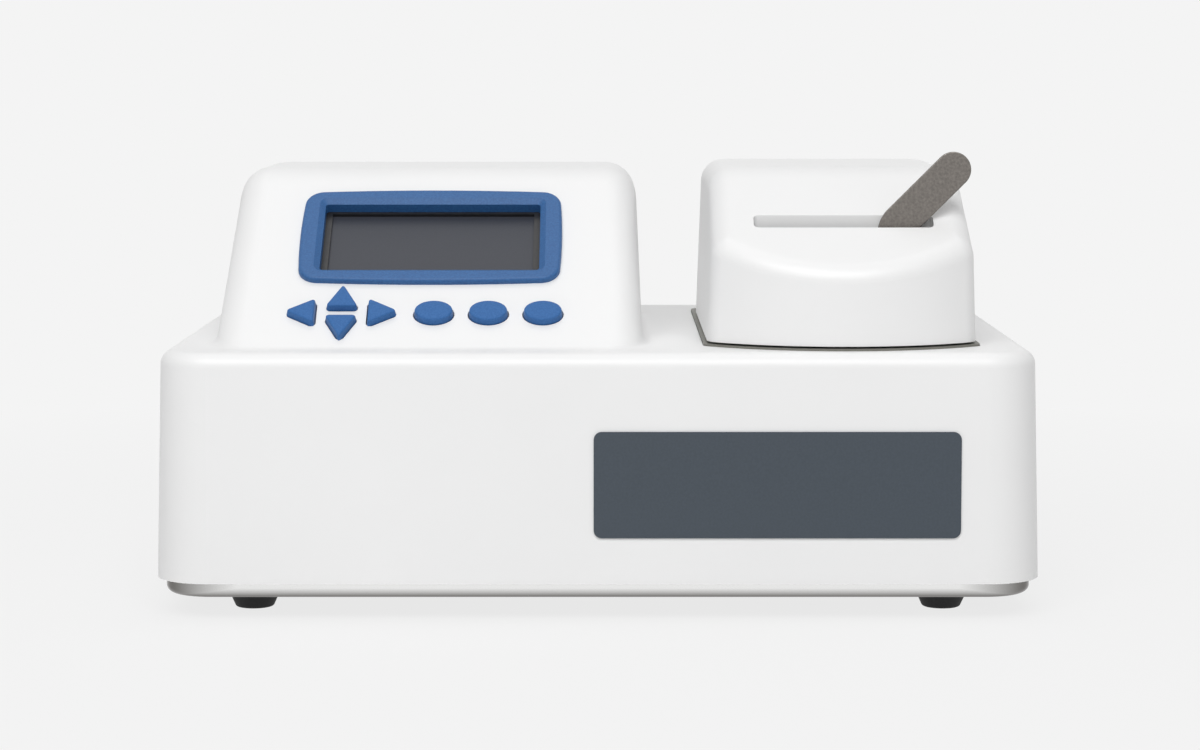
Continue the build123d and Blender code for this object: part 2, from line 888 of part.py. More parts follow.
with BuildPart() as display_bezel:
    with BuildSketch(display_plane):
        bowed_outline(bezel_width, bezel_height, bezel_side_bow, bezel_top_bow, bezel_corner)
    extrude(amount=bezel_proud)
    fillet(outermost(display_bezel.faces(), panel.z_dir).edges(), bezel_outer_rounding)
    with BuildSketch(display_plane):
        Rectangle(frame_width, frame_height)
    extrude(amount=-bezel_skirt_depth)
    # Window with a bevel that leads the eye down to the glass
    with BuildSketch(display_plane.offset(bezel_proud)):
        RectangleRounded(
            bezel_window_width + 2 * bezel_bevel,
            bezel_window_height + 2 * bezel_bevel,
            bezel_window_corner + bezel_bevel,
        )
    with BuildSketch(display_plane.offset(bezel_proud - bezel_bevel_drop)):
        RectangleRounded(bezel_window_width, bezel_window_height, bezel_window_corner)
    loft(mode=Mode.SUBTRACT)
    with BuildSketch(display_plane.offset(bezel_proud - bezel_bevel_drop)):
        RectangleRounded(bezel_window_width, bezel_window_height, bezel_window_corner)
    extrude(amount=-(bezel_proud + bezel_skirt_depth), mode=Mode.SUBTRACT)
keep(display_bezel, "display_bezel")

with BuildPart() as display_frame:
    with BuildSketch(window_low):
        Rectangle(frame_width, frame_height)
        Rectangle(screen_width, screen_height, mode=Mode.SUBTRACT)
    extrude(amount=-frame_lip)
    with BuildSketch(window_low.offset(-frame_lip)):
        Rectangle(frame_width, frame_height)
        Rectangle(frame_width - 2 * frame_wall, frame_height - 2 * frame_wall, mode=Mode.SUBTRACT)
    extrude(amount=-(frame_depth - frame_lip))
keep(display_frame, "display_frame")

with BuildPart() as display_glass:
    with BuildSketch(window_low.offset(-frame_lip)):
        Rectangle(
            frame_width - 2 * frame_wall - 2 * fit_clearance,
            frame_height - 2 * frame_wall - 2 * fit_clearance,
        )
    extrude(amount=-glass_thickness)
keep(display_glass, "display_glass")

with BuildPart() as display_board:
    with BuildSketch(window_low.offset(-frame_depth)):
        Rectangle(display_post_span_x + 2 * board_margin, display_post_span_up + 2 * board_margin)
    extrude(amount=-board_thickness)
keep(display_board, "display_board")

with BuildPart() as keypad_board:
    with BuildSketch(panel.offset(-board_drop)):
        with Locations(((keypad_post_left + keypad_post_right) / 2, keypad_up)):
            Rectangle(keypad_post_right - keypad_post_left + 2 * board_margin, keypad_high - keypad_low)
    extrude(amount=-board_thickness)
keep(keypad_board, "keypad_board")

with BuildPart() as key_switches:
    with BuildSketch(panel.offset(-board_drop)):
        with Locations(*[key["centre"] for key in keys.values()]):
            Rectangle(switch_size, switch_size)
    extrude(amount=switch_height * switch_body_share)
    with BuildSketch(panel.offset(-board_drop)):
        with Locations(*[key["centre"] for key in keys.values()]):
            Circle(key_plunger_diameter / 2)
    extrude(amount=switch_height)
keep(key_switches, "key_switches")


# Main board and power supply on the pan


with BuildPart() as main_board:
    with BuildSketch(board_seat):
        with Locations((main_board_x, main_board_y)):
            Rectangle(main_board_width, main_board_depth)
    extrude(amount=board_thickness)
    round_holes(board_seat.offset(board_thickness), board_spots, screw_hole_diameter, board_thickness)
keep(main_board, "main_board")
keep(pan_head_screws(board_seat.offset(board_thickness), board_spots, screw_length), "board_screws")

with BuildPart() as power_supply:
    with BuildSketch(Plane.XY.offset(pan_floor)):
        with Locations((supply_x, supply_y)):
            Rectangle(supply_width + 2 * supply_tab, supply_depth)
    extrude(amount=supply_sheet)
    with BuildSketch(Plane.XY.offset(pan_floor)):
        with Locations((supply_x, supply_y)):
            Rectangle(supply_width, supply_depth)
    extrude(amount=supply_height)
    with BuildSketch(Plane.XY.offset(pan_floor + supply_height)):
        with Locations((supply_x, supply_y)):
            with GridLocations(supply_slot_pitch, supply_slot_pitch, supply_slot_count, 1):
                SlotOverall(supply_depth * supply_slot_share, vent_slot_width, rotation=90)
    extrude(amount=-supply_slot_depth, mode=Mode.SUBTRACT)
    round_holes(Plane.XY.offset(pan_floor + supply_sheet), supply_spots, screw_hole_diameter, supply_sheet)
keep(power_supply, "power_supply")
keep(
    pan_head_screws(Plane.XY.offset(pan_floor + supply_sheet), supply_spots, supply_sheet + pan_sheet),
    "supply_screws",
)


# Chamber plate, sample chamber and its cooling


strike_spot = (slot_x, slot_y)
block_spots = corners_of(lid_x, chamber_y, chamber_screw_span, chamber_screw_span)
hinge_screw_spots = [(lid_x - leaf_screw_reach, hinge_y), (lid_x + leaf_screw_reach, hinge_y)]
plate_low = plate_top - plate_thickness

with BuildPart() as chamber_plate:
    with BuildSketch(Plane.XY.offset(plate_low)):
        lid_plan(0, plate_back, plate_corner, plate_corner)
        with Locations((lid_x, chamber_y)):
            Circle(chamber_rim_diameter / 2 + fit_clearance, mode=Mode.SUBTRACT)
    extrude(amount=plate_thickness)
    flush_holes(Plane.XY.offset(plate_top), block_spots, plate_thickness)
    round_holes(Plane.XY.offset(plate_top), hinge_screw_spots, screw_hole_diameter, plate_thickness)
keep(chamber_plate, "chamber_plate")
keep(flush_screws(Plane.XY.offset(plate_top), block_spots, screw_length), "chamber_screws")

with BuildPart() as chamber_block:
    with BuildSketch(Plane.XY.offset(plate_low)):
        with Locations((lid_x, chamber_y)):
            RectangleRounded(chamber_block_size, chamber_block_size, chamber_block_corner)
    extrude(amount=-chamber_block_height)
    with BuildSketch(Plane.XY.offset(plate_low)):
        with Locations((lid_x, chamber_y)):
            Circle(chamber_rim_diameter / 2)
    extrude(amount=chamber_rim - plate_low)
    chamfer(chamber_block.edges().group_by(Axis.Z)[-1], chamber_rim_chamfer)
    round_holes(Plane.XY.offset(chamber_rim), [(lid_x, chamber_y)], cup_diameter, cup_depth)
    round_holes(Plane.XY.offset(plate_low), block_spots, screw_hole_diameter, screw_length)
keep(chamber_block, "chamber_block")

module_top = plate_low - chamber_block_height
with BuildPart() as thermoelectric_module:
    with BuildSketch(Plane.XY.offset(module_top)):
        with Locations((lid_x, chamber_y)):
            Rectangle(module_size, module_size)
    extrude(amount=-module_height)
    with BuildSketch(Plane.XY.offset(module_top - module_plate)):
        with Locations((lid_x, chamber_y)):
            Rectangle(module_size, module_size)
            Rectangle(module_size - 2 * module_plate, module_size - 2 * module_plate, mode=Mode.SUBTRACT)
    extrude(amount=-(module_height - 2 * module_plate), mode=Mode.SUBTRACT)
keep(thermoelectric_module, "thermoelectric_module")

sink_top = module_top - module_height
with BuildPart() as heat_sink:
    with BuildSketch(Plane.XY.offset(sink_top)):
        with Locations((lid_x, chamber_y)):
            Rectangle(sink_size, sink_size)
    extrude(amount=-sink_base)
    with BuildSketch(Plane.XY.offset(sink_top - sink_base)):
        with Locations((lid_x, chamber_y)):
            with GridLocations((sink_size - fin_thickness) / (fin_count - 1), 1, fin_count, 1):
                Rectangle(fin_thickness, sink_size)
    extrude(amount=-(sink_height - sink_base))
keep(heat_sink, "heat_sink")


def fan_rotor(centre, bottom, hub, tip, height, bore, blades, thickness):
    """Hub with slanted blades and a bore for its shaft"""
    middle = Plane(origin=(*centre, bottom + height / 2))
    with BuildPart() as rotor:
        with BuildSketch(middle.offset(-height / 2)):
            Circle(hub / 2)
        extrude(amount=height)
        for place in range(blades):
            turn = radians(360 * place / blades)
            along = (-sin(turn), cos(turn), 0)
            outward = (cos(turn), sin(turn), 0)
            with BuildSketch(Plane(origin=middle.origin, x_dir=along, z_dir=outward)):
                Rectangle(height * blade_chord, thickness, rotation=blade_pitch)
            extrude(amount=tip)
        with Locations(middle.origin):
            Cylinder(tip, height, mode=Mode.INTERSECT)
            Cylinder(bore / 2, height, mode=Mode.SUBTRACT)
    return rotor


fan_top = sink_top - sink_height
fan_bottom = fan_top - fan_height
with BuildPart() as fan_frame:
    with BuildSketch(Plane.XY.offset(fan_bottom)):
        with Locations((lid_x, chamber_y)):
            RectangleRounded(fan_size, fan_size, fan_corner)
            Circle(fan_bore / 2, mode=Mode.SUBTRACT)
    extrude(amount=fan_height)
    with BuildSketch(Plane.XY.offset(fan_bottom)):
        with Locations((lid_x, chamber_y)):
            Circle(fan_hub_diameter / 2)
            Rectangle(fan_bore + 2, fan_strut_width)
            Rectangle(fan_strut_width, fan_bore + 2)
    extrude(amount=fan_base_thickness)
    with BuildSketch(Plane.XY.offset(fan_bottom + fan_base_thickness)):
        with Locations((lid_x, chamber_y)):
            Circle(fan_shaft_diameter / 2)
    extrude(amount=fan_height - 2 * fan_base_thickness)
keep(fan_frame, "fan_frame")

rotor_bottom = fan_bottom + fan_base_thickness + fan_end_play
keep(
    fan_rotor(
        (lid_x, chamber_y),
        rotor_bottom,
        fan_hub_diameter,
        fan_bore / 2 - fan_tip_clearance,
        fan_height - fan_base_thickness - 2 * fan_end_play,
        fan_shaft_diameter + 2 * fan_shaft_clearance,
        fan_blade_count,
        fan_blade_thickness,
    ),
    "fan_rotor",
)


# Strike that the lid's hook catches


with BuildPart() as strike_bracket:
    with BuildSketch(Plane.XY.offset(plate_top)):
        with Locations(strike_spot):
            Rectangle(strike_width, strike_span + strike_sheet)
    extrude(amount=strike_base_sheet)
    for side in (-1, 1):
        with BuildSketch(upright(slot_y + side * strike_span / 2 - strike_sheet / 2)):
            with Locations((slot_x, (plate_top + strike_z) / 2)):
                Rectangle(strike_width, strike_z - plate_top)
            with Locations((slot_x, strike_z)):
                Circle(strike_width / 2)
                Circle(strike_pin_diameter / 2, mode=Mode.SUBTRACT)
        extrude(amount=-strike_sheet)
keep(strike_bracket, "strike_bracket")

with BuildPart() as strike_pin:
    with BuildSketch(upright(slot_y - strike_pin_length / 2)):
        with Locations((slot_x, strike_z)):
            Circle(strike_pin_diameter / 2)
    extrude(amount=-strike_pin_length)
keep(strike_pin, "strike_pin")


# Lid: shell, plate, sensor head and hinge leaf


lid_post_span = plate_width - 2 * lid_post_side_gap
lid_post_spots = [
    (lid_x + side * lid_post_span / 2, y)
    for y in (lid_front + lid_post_front_gap, lid_back - lid_post_back_gap)
    for side in (-1, 1)
]
leaf_back = lid_back - lid_wall - lid_plate_clearance
leaf_spots = [(lid_x - leaf_screw_reach, leaf_back - hinge_leaf_depth / 2),
              (lid_x + leaf_screw_reach, leaf_back - hinge_leaf_depth / 2)]
arm_places = [lid_x - hinge_arm_spacing / 2, lid_x + hinge_arm_spacing / 2]
ear_places = [lid_x - hinge_ear_spacing / 2, lid_x + hinge_ear_spacing / 2]
arm_top = hinge_z + hinge_pin_diameter / 2 + hinge_arm_clearance

with BuildPart() as lid_hollow:
    add(lid_form(lid_wall))
    with BuildSketch(Plane.XY.offset(lid_plate_top)):
        with Locations(*lid_post_spots):
            Circle(lid_post_diameter / 2)
    extrude(amount=lid_top, mode=Mode.SUBTRACT)

with BuildPart() as lid_shell:
    add(lid_form(0))
    add(lid_hollow.part, mode=Mode.SUBTRACT)
    with BuildSketch(Plane.XY.offset(lid_roof)):
        with Locations(strike_spot):
            RectangleRounded(slot_length, slot_width, slot_corner)
    extrude(amount=-(lid_top - lever_pivot_height), mode=Mode.SUBTRACT)
    round_holes(downward(lid_plate_top), from_below(lid_post_spots), screw_hole_diameter, screw_length)
    # Notches in the back wall for the hinge arms
    with BuildSketch(upright(lid_back - 2 * lid_wall)):
        with Locations(*[(x, (lid_bottom + arm_top) / 2) for x in arm_places]):
            Rectangle(
                hinge_arm_thickness + 2 * hinge_arm_clearance,
                arm_top - lid_bottom + 2 * hinge_arm_clearance,
            )
    extrude(amount=-3 * lid_wall, mode=Mode.SUBTRACT)
keep(lid_shell, "lid_shell")

lid_underside = downward(lid_plate_bottom)
lid_screw_spots = from_below(lid_post_spots + leaf_spots)
latch_well_depth = lever_bracket_span - lever_bracket_sheet
with BuildPart() as lid_base_plate:
    with BuildSketch(Plane.XY.offset(lid_plate_bottom)):
        lid_plan(
            -lid_setback - lid_wall - lid_plate_clearance,
            leaf_back,
            lid_corner - lid_wall,
            lid_back_corner - lid_wall,
        )
        with Locations((lid_x, chamber_y)):
            Circle(sensor_boss_diameter / 2 + fit_clearance, mode=Mode.SUBTRACT)
        with Locations(strike_spot):
            Rectangle(latch_well_width, latch_well_depth, mode=Mode.SUBTRACT)
    extrude(amount=lid_plate_thickness)
    flush_holes(lid_underside, lid_screw_spots, lid_plate_thickness)
keep(lid_base_plate, "lid_base_plate")
keep(flush_screws(lid_underside, lid_screw_spots, lid_screw_length), "lid_screws")

with BuildPart() as lid_hinge_leaf:
    with BuildSketch(Plane.XY.offset(lid_plate_top)):
        with Locations((lid_x, leaf_back - hinge_leaf_depth / 2)):
            Rectangle(hinge_arm_spacing + hinge_arm_thickness, hinge_leaf_depth)
    extrude(amount=hinge_leaf_sheet)
    for place in arm_places:
        with BuildSketch(Plane.YZ.offset(place - hinge_arm_thickness / 2)):
            with Locations((hinge_y, hinge_z)):
                Circle(hinge_knuckle_diameter / 2)
            with BuildLine():
                Polyline(
                    (leaf_back - hinge_leaf_depth, lid_plate_top),
                    (hinge_y, lid_plate_top),
                    (hinge_y, arm_top),
                    (leaf_back - hinge_leaf_depth / 2, arm_top),
                    (leaf_back - hinge_leaf_depth, lid_plate_top + hinge_leaf_sheet),
                    close=True,
                )
            make_face()
            with Locations((hinge_y, hinge_z)):
                Circle(hinge_pin_diameter / 2 + hinge_pin_clearance, mode=Mode.SUBTRACT)
        extrude(amount=hinge_arm_thickness)
    round_holes(downward(lid_plate_top), from_below(leaf_spots), screw_hole_diameter, hinge_leaf_sheet)
keep(lid_hinge_leaf, "lid_hinge_leaf")

hinge_screw_seat = Plane.XY.offset(plate_top + hinge_base_sheet)
bracket_front = lid_back + hinge_arm_clearance
bracket_back = plate_back - hinge_arm_clearance
with BuildPart() as hinge_bracket:
    with BuildSketch(Plane.XY.offset(plate_top)):
        with Locations((lid_x, (bracket_front + bracket_back) / 2)):
            Rectangle(hinge_ear_spacing + hinge_ear_thickness, bracket_back - bracket_front)
    extrude(amount=hinge_base_sheet)
    for place in ear_places:
        with BuildSketch(Plane.YZ.offset(place - hinge_ear_thickness / 2)):
            with BuildLine():
                Polyline(
                    (bracket_front, plate_top),
                    (bracket_back, plate_top),
                    (hinge_y + hinge_knuckle_diameter / 2, hinge_z),
                    (hinge_y - hinge_knuckle_diameter / 2, hinge_z),
                    close=True,
                )
            make_face()
            with Locations((hinge_y, hinge_z)):
                Circle(hinge_knuckle_diameter / 2)
                Circle(hinge_pin_diameter / 2, mode=Mode.SUBTRACT)
        extrude(amount=hinge_ear_thickness)
    round_holes(hinge_screw_seat, hinge_screw_spots, screw_hole_diameter, hinge_base_sheet)
keep(hinge_bracket, "hinge_bracket")
keep(pan_head_screws(hinge_screw_seat, hinge_screw_spots, hinge_base_sheet + plate_thickness), "hinge_screws")

hinge_pin_length = hinge_ear_spacing + hinge_ear_thickness
with BuildPart() as hinge_pin:
    with BuildSketch(Plane.YZ.offset(lid_x - hinge_pin_length / 2)):
        with Locations((hinge_y, hinge_z)):
            Circle(hinge_pin_diameter / 2)
    extrude(amount=hinge_pin_length)
    chamfer(hinge_pin.edges(), pin_chamfer)
keep(hinge_pin, "hinge_pin")


# Sensor head in the lid


sensor_bottom = chamber_rim + sensor_boss_gap
cavity_roof = sensor_bottom + sensor_cavity_depth
seal_z = sensor_bottom + seal_section / 2 - seal_proud
with BuildPart() as sensor_block:
    with BuildSketch(Plane.XY.offset(lid_plate_top)):
        with Locations((lid_x, chamber_y)):
            RectangleRounded(sensor_flange_size, sensor_flange_size, sensor_flange_corner)
    extrude(amount=sensor_flange_thickness)
    with BuildSketch(Plane.XY.offset(sensor_bottom)):
        with Locations((lid_x, chamber_y)):
            Circle(sensor_boss_diameter / 2)
    extrude(amount=sensor_block_height)
    with BuildSketch(Plane.XY.offset(sensor_bottom)):
        with Locations((lid_x, chamber_y)):
            Circle((seal_diameter + seal_section) / 2)
            Circle((seal_diameter - seal_section) / 2, mode=Mode.SUBTRACT)
    extrude(amount=seal_section - seal_proud, mode=Mode.SUBTRACT)
    with BuildSketch(Plane.XY.offset(sensor_bottom)):
        with Locations((lid_x, chamber_y)):
            Circle(sensor_cavity_diameter / 2)
    extrude(amount=sensor_cavity_depth, mode=Mode.SUBTRACT)
    # Shaft of the small fan that stirs the air over the sample
    with BuildSketch(Plane.XY.offset(cavity_roof)):
        with Locations((lid_x, chamber_y - sensor_part_offset)):
            Circle(circulation_shaft_diameter / 2)
    extrude(amount=-(circulation_fan_height + 2 * fan_end_play))
keep(sensor_block, "sensor_block")

with BuildPart() as chamber_seal:
    with BuildSketch(Plane(origin=(lid_x, chamber_y, seal_z), x_dir=(1, 0, 0), z_dir=(0, -1, 0))):
        with Locations((seal_diameter / 2, 0)):
            Circle(seal_section / 2 - seal_squeeze)
    revolve(axis=Axis((lid_x, chamber_y, seal_z), (0, 0, 1)))
keep(chamber_seal, "chamber_seal")

with BuildPart() as dew_point_mirror:
    with BuildSketch(Plane.XY.offset(cavity_roof)):
        with Locations((lid_x - sensor_part_offset, chamber_y + sensor_part_offset / 2)):
            Circle(mirror_diameter / 2)
    extrude(amount=-mirror_height)
    chamfer(dew_point_mirror.edges().group_by(Axis.Z)[0], pin_chamfer)
keep(dew_point_mirror, "dew_point_mirror")

with BuildPart() as infrared_sensor:
    with BuildSketch(Plane.XY.offset(cavity_roof)):
        with Locations((lid_x + sensor_part_offset, chamber_y + sensor_part_offset / 2)):
            Circle(infrared_diameter / 2)
    extrude(amount=-infrared_height)
    round_holes(
        downward(cavity_roof - infrared_height),
        from_below([(lid_x + sensor_part_offset, chamber_y + sensor_part_offset / 2)]),
        infrared_window_diameter,
        infrared_window_depth,
    )
keep(infrared_sensor, "infrared_sensor")

keep(
    fan_rotor(
        (lid_x, chamber_y - sensor_part_offset),
        cavity_roof - circulation_fan_height - fan_end_play,
        circulation_hub_diameter,
        circulation_fan_diameter / 2,
        circulation_fan_height,
        circulation_shaft_diameter + 2 * fan_shaft_clearance,
        circulation_blade_count,
        circulation_blade_thickness,
    ),
    "circulation_fan",
)

with BuildPart() as sensor_board:
    with BuildSketch(Plane.XY.offset(sensor_bottom + sensor_block_height)):
        with Locations((lid_x, chamber_y)):
            Rectangle(sensor_board_width, sensor_board_depth)
    extrude(amount=board_thickness)
keep(sensor_board, "sensor_board")


# Lever with its hook, bush, pin and bracket


with BuildPart() as lever_bracket:
    for side in (-1, 1):
        ear_y = slot_y + side * lever_bracket_span / 2 - lever_bracket_sheet / 2
        with BuildSketch(upright(ear_y)):
            with Locations((slot_x, (lid_plate_top + lever_pivot_z) / 2)):
                Rectangle(lever_bracket_width, lever_pivot_z - lid_plate_top)
            with Locations((slot_x, lever_pivot_z)):
                Circle(lever_bracket_width / 2)
                Circle(lever_pin_diameter / 2, mode=Mode.SUBTRACT)
        extrude(amount=-lever_bracket_sheet)
    with BuildSketch(Plane.XY.offset(lid_plate_top)):
        with Locations(strike_spot):
            Rectangle(latch_well_width + 2 * lever_bracket_foot, lever_bracket_span + lever_bracket_sheet)
            Rectangle(latch_well_width, latch_well_depth, mode=Mode.SUBTRACT)
    extrude(amount=lever_bracket_sheet)
keep(lever_bracket, "lever_bracket")

lever_pivot = (slot_x, slot_y - lever_thickness / 2, lever_pivot_z)
lever_face = Plane(origin=lever_pivot, x_dir=(1, 0, 0), z_dir=(0, -1, 0))
half_lever = lever_width / 2
lean_x = sin(radians(lever_lean))
lean_z = cos(radians(lever_lean))
bend_shift = half_lever * tan(radians(lever_lean / 2))
rivet_spot = (lever_bend_reach, lever_bend_rise - lever_rivet_drop)
tip_spot = (lever_bend_reach + lever_handle_length * lean_x, lever_bend_rise + lever_handle_length * lean_z)
outer_bend = (lever_bend_reach - half_lever, lever_bend_rise + bend_shift)
inner_bend = (lever_bend_reach + half_lever, lever_bend_rise - bend_shift)
hook_radius = strike_drop + strike_pin_diameter / 2 + hook_clearance + hook_thickness / 2

with BuildPart() as latch_lever:
    with BuildSketch(lever_face) as strip:
        Polygon(
            (outer_bend[0], rivet_spot[1]),
            outer_bend,
            (tip_spot[0] - half_lever * lean_z, tip_spot[1] + half_lever * lean_x),
            (tip_spot[0] + half_lever * lean_z, tip_spot[1] - half_lever * lean_x),
            inner_bend,
            (inner_bend[0], rivet_spot[1]),
            align=None,
        )
        fillet(strip.vertices().sort_by_distance(outer_bend)[0], lever_width)
        with Locations(tip_spot, rivet_spot):
            Circle(half_lever)
        with Locations(rivet_spot):
            Circle(rivet_shank_diameter / 2, mode=Mode.SUBTRACT)
    extrude(amount=-lever_thickness)
    rims = latch_lever.edges().filter_by(Axis.Y, reverse=True)
    fillet(rims.group_by(SortBy.LENGTH)[-1], lever_edge_rounding)
keep(latch_lever, "latch_lever")

with BuildPart() as latch_arm:
    with BuildSketch(lever_face.offset(-lever_thickness)):
        SlotCenterPoint((rivet_spot[0] / 2, rivet_spot[1] / 2), rivet_spot, latch_arm_width)
        hook_root = (hook_radius * cos(radians(hook_start)), hook_radius * sin(radians(hook_start)))
        SlotCenterPoint((hook_root[0] / 2, hook_root[1] / 2), hook_root, hook_arm_width)
        SlotArc(Edge.make_circle(hook_radius, start_angle=hook_start, end_angle=hook_end), hook_thickness)
        with Locations(rivet_spot):
            Circle(rivet_shank_diameter / 2, mode=Mode.SUBTRACT)
    extrude(amount=-lever_thickness)
    with BuildSketch(lever_face.offset(-lever_thickness / 2)):
        Circle(lever_hub_diameter / 2)
    extrude(amount=(lever_bracket_span - lever_bracket_sheet) / 2 - lever_side_clearance, both=True)
    with BuildSketch(lever_face.offset(-lever_thickness / 2)):
        Circle(lever_pin_diameter / 2 + lever_pin_clearance)
    extrude(amount=lever_bracket_span, both=True, mode=Mode.SUBTRACT)
keep(latch_arm, "latch_arm")

with BuildPart() as lever_rivet:
    with BuildSketch(lever_face):
        with Locations(rivet_spot):
            Circle(lever_rivet_diameter / 2)
    extrude(amount=lever_rivet_proud, taper=rivet_head_taper)
    with BuildSketch(lever_face):
        with Locations(rivet_spot):
            Circle(rivet_shank_diameter / 2)
    extrude(amount=-2 * lever_thickness)
    with BuildSketch(lever_face.offset(-2 * lever_thickness)):
        with Locations(rivet_spot):
            Circle(rivet_tail_diameter / 2)
    extrude(amount=-rivet_tail_height)
keep(lever_rivet, "lever_rivet")

with BuildPart() as lever_pin:
    with BuildSketch(lever_face.offset(-lever_thickness / 2)):
        Circle(lever_pin_diameter / 2)
    extrude(amount=(lever_bracket_span + lever_bracket_sheet) / 2, both=True)
keep(lever_pin, "lever_pin")


# Rear panel and its connectors


rear_face = Plane(origin=(rear_panel_x, rear_seat_y, rear_panel_z), x_dir=(1, 0, 0), z_dir=(0, -1, 0))
flange_face = rear_face.offset(-inlet_flange_thickness)
socket_x = inlet_offset + socket_offset
fuse_x = inlet_offset + fuse_offset
rocker_x = inlet_offset + rocker_offset

with BuildPart() as rear_panel:
    with BuildSketch(rear_face):
        Rectangle(rear_panel_width, rear_panel_height)
        with Locations((inlet_offset, 0)):
            Rectangle(inlet_body_width + fit_clearance, inlet_body_height + fit_clearance, mode=Mode.SUBTRACT)
        with Locations((serial_offset, 0)):
            Rectangle(
                serial_body_width + fit_clearance,
                serial_shell_height + fit_clearance,
                mode=Mode.SUBTRACT,
            )
        with Locations((usb_offset, 0)):
            Rectangle(usb_width + fit_clearance, usb_height + fit_clearance, mode=Mode.SUBTRACT)
    extrude(amount=rear_panel_sheet)
    round_holes(upright(rear_panel_inside), rear_screw_spots, screw_hole_diameter, rear_panel_sheet)
keep(rear_panel, "rear_panel")
keep(pan_head_screws(upright(rear_panel_inside), rear_screw_spots, rear_screw_length), "rear_panel_screws")

with BuildPart() as power_inlet:
    with BuildSketch(rear_face):
        with Locations((inlet_offset, 0)):
            RectangleRounded(inlet_flange_width, inlet_flange_height, inlet_flange_corner)
    extrude(amount=-inlet_flange_thickness)
    with BuildSketch(rear_face):
        with Locations((inlet_offset, 0)):
            Rectangle(inlet_body_width, inlet_body_height)
    extrude(amount=inlet_body_depth)
    with BuildSketch(flange_face):
        with Locations((socket_x, 0)):
            Rectangle(socket_width, socket_height)
        chamfer(vertices().group_by(Axis.Y)[-1], socket_corner)
    extrude(amount=socket_depth, mode=Mode.SUBTRACT)
    with BuildSketch(flange_face):
        with Locations((fuse_x, 0)):
            Rectangle(fuse_width + 2 * fuse_clearance, fuse_height + 2 * fuse_clearance)
    extrude(amount=fuse_depth + fuse_clearance, mode=Mode.SUBTRACT)
    with BuildSketch(flange_face):
        with Locations((rocker_x, 0)):
            Rectangle(rocker_width + 2 * rocker_clearance, rocker_height + 2 * rocker_clearance)
    extrude(amount=rocker_height / 2 + rocker_clearance + rocker_pivot_depth, mode=Mode.SUBTRACT)
    rocker_pivot = (rear_seat_y + inlet_flange_thickness - rocker_pivot_depth, rear_panel_z)
    with BuildSketch(Plane.YZ.offset(rear_panel_x + rocker_x)):
        with Locations(rocker_pivot):
            Circle(rocker_pin_diameter / 2 + fuse_clearance)
    extrude(amount=rocker_width / 2 + rocker_clearance + rocker_pin_length, both=True, mode=Mode.SUBTRACT)
keep(power_inlet, "power_inlet")

with BuildPart() as inlet_contacts:
    with BuildSketch(flange_face.offset(socket_depth)):
        with Locations(
            (socket_x - contact_spacing / 2, -contact_rise / 2),
            (socket_x, contact_rise / 2),
            (socket_x + contact_spacing / 2, -contact_rise / 2),
        ):
            Rectangle(contact_width, contact_height)
    extrude(amount=-contact_length)
keep(inlet_contacts, "inlet_contacts")

with BuildPart() as fuse_drawer:
    with BuildSketch(flange_face):
        with Locations((fuse_x, 0)):
            Rectangle(fuse_width, fuse_height)
    extrude(amount=fuse_depth)
    with BuildSketch(flange_face):
        with Locations((fuse_x, 0)):
            Rectangle(fuse_width, fuse_height)
            Rectangle(fuse_width, fuse_grip_height, mode=Mode.SUBTRACT)
    extrude(amount=-fuse_grip_proud)
keep(fuse_drawer, "fuse_drawer")

with BuildPart() as power_switch:
    with BuildSketch(Plane.YZ.offset(rear_panel_x + rocker_x)):
        with Locations(Location((*rocker_pivot, 0), (0, 0, rocker_tilt))):
            Circle(rocker_height / 2)
            Polygon(
                (0, 0),
                (rocker_height * sin(radians(rocker_tilt)), rocker_height * cos(radians(rocker_tilt))),
                (rocker_height, 0),
                (rocker_height * sin(radians(rocker_tilt)), -rocker_height * cos(radians(rocker_tilt))),
                align=None,
                mode=Mode.SUBTRACT,
            )
    extrude(amount=rocker_width / 2, both=True)
    with BuildSketch(Plane.YZ.offset(rear_panel_x + rocker_x)):
        with Locations(rocker_pivot):
            Circle(rocker_pin_diameter / 2)
    extrude(amount=rocker_width / 2 + rocker_pin_length, both=True)
keep(power_switch, "power_switch")

with BuildPart() as serial_port:
    with BuildSketch(rear_face):
        with Locations((serial_offset, 0)):
            RectangleRounded(serial_flange_width, serial_flange_height, inlet_flange_corner)
    extrude(amount=-serial_flange_thickness)
    with BuildSketch(rear_face):
        with Locations((serial_offset, 0)):
            Rectangle(serial_body_width, serial_shell_height)
    extrude(amount=serial_body_depth)
    with BuildSketch(rear_face):
        with Locations((serial_offset, 0)):
            Trapezoid(serial_shell_width, serial_shell_height, serial_shell_lean)
        fillet(vertices(), serial_shell_rounding)
    extrude(amount=-(serial_flange_thickness + serial_shell_length))
    with BuildSketch(rear_face.offset(-(serial_flange_thickness + serial_shell_length))):
        with Locations((serial_offset, serial_row_gap / 2)):
            with GridLocations(serial_pitch, serial_pitch, 4, 1):
                Circle(serial_hole_diameter / 2)
        with Locations((serial_offset, -serial_row_gap / 2)):
            with GridLocations(serial_pitch, serial_pitch, 5, 1):
                Circle(serial_hole_diameter / 2)
    extrude(amount=serial_shell_length, mode=Mode.SUBTRACT)
keep(serial_port, "serial_port")

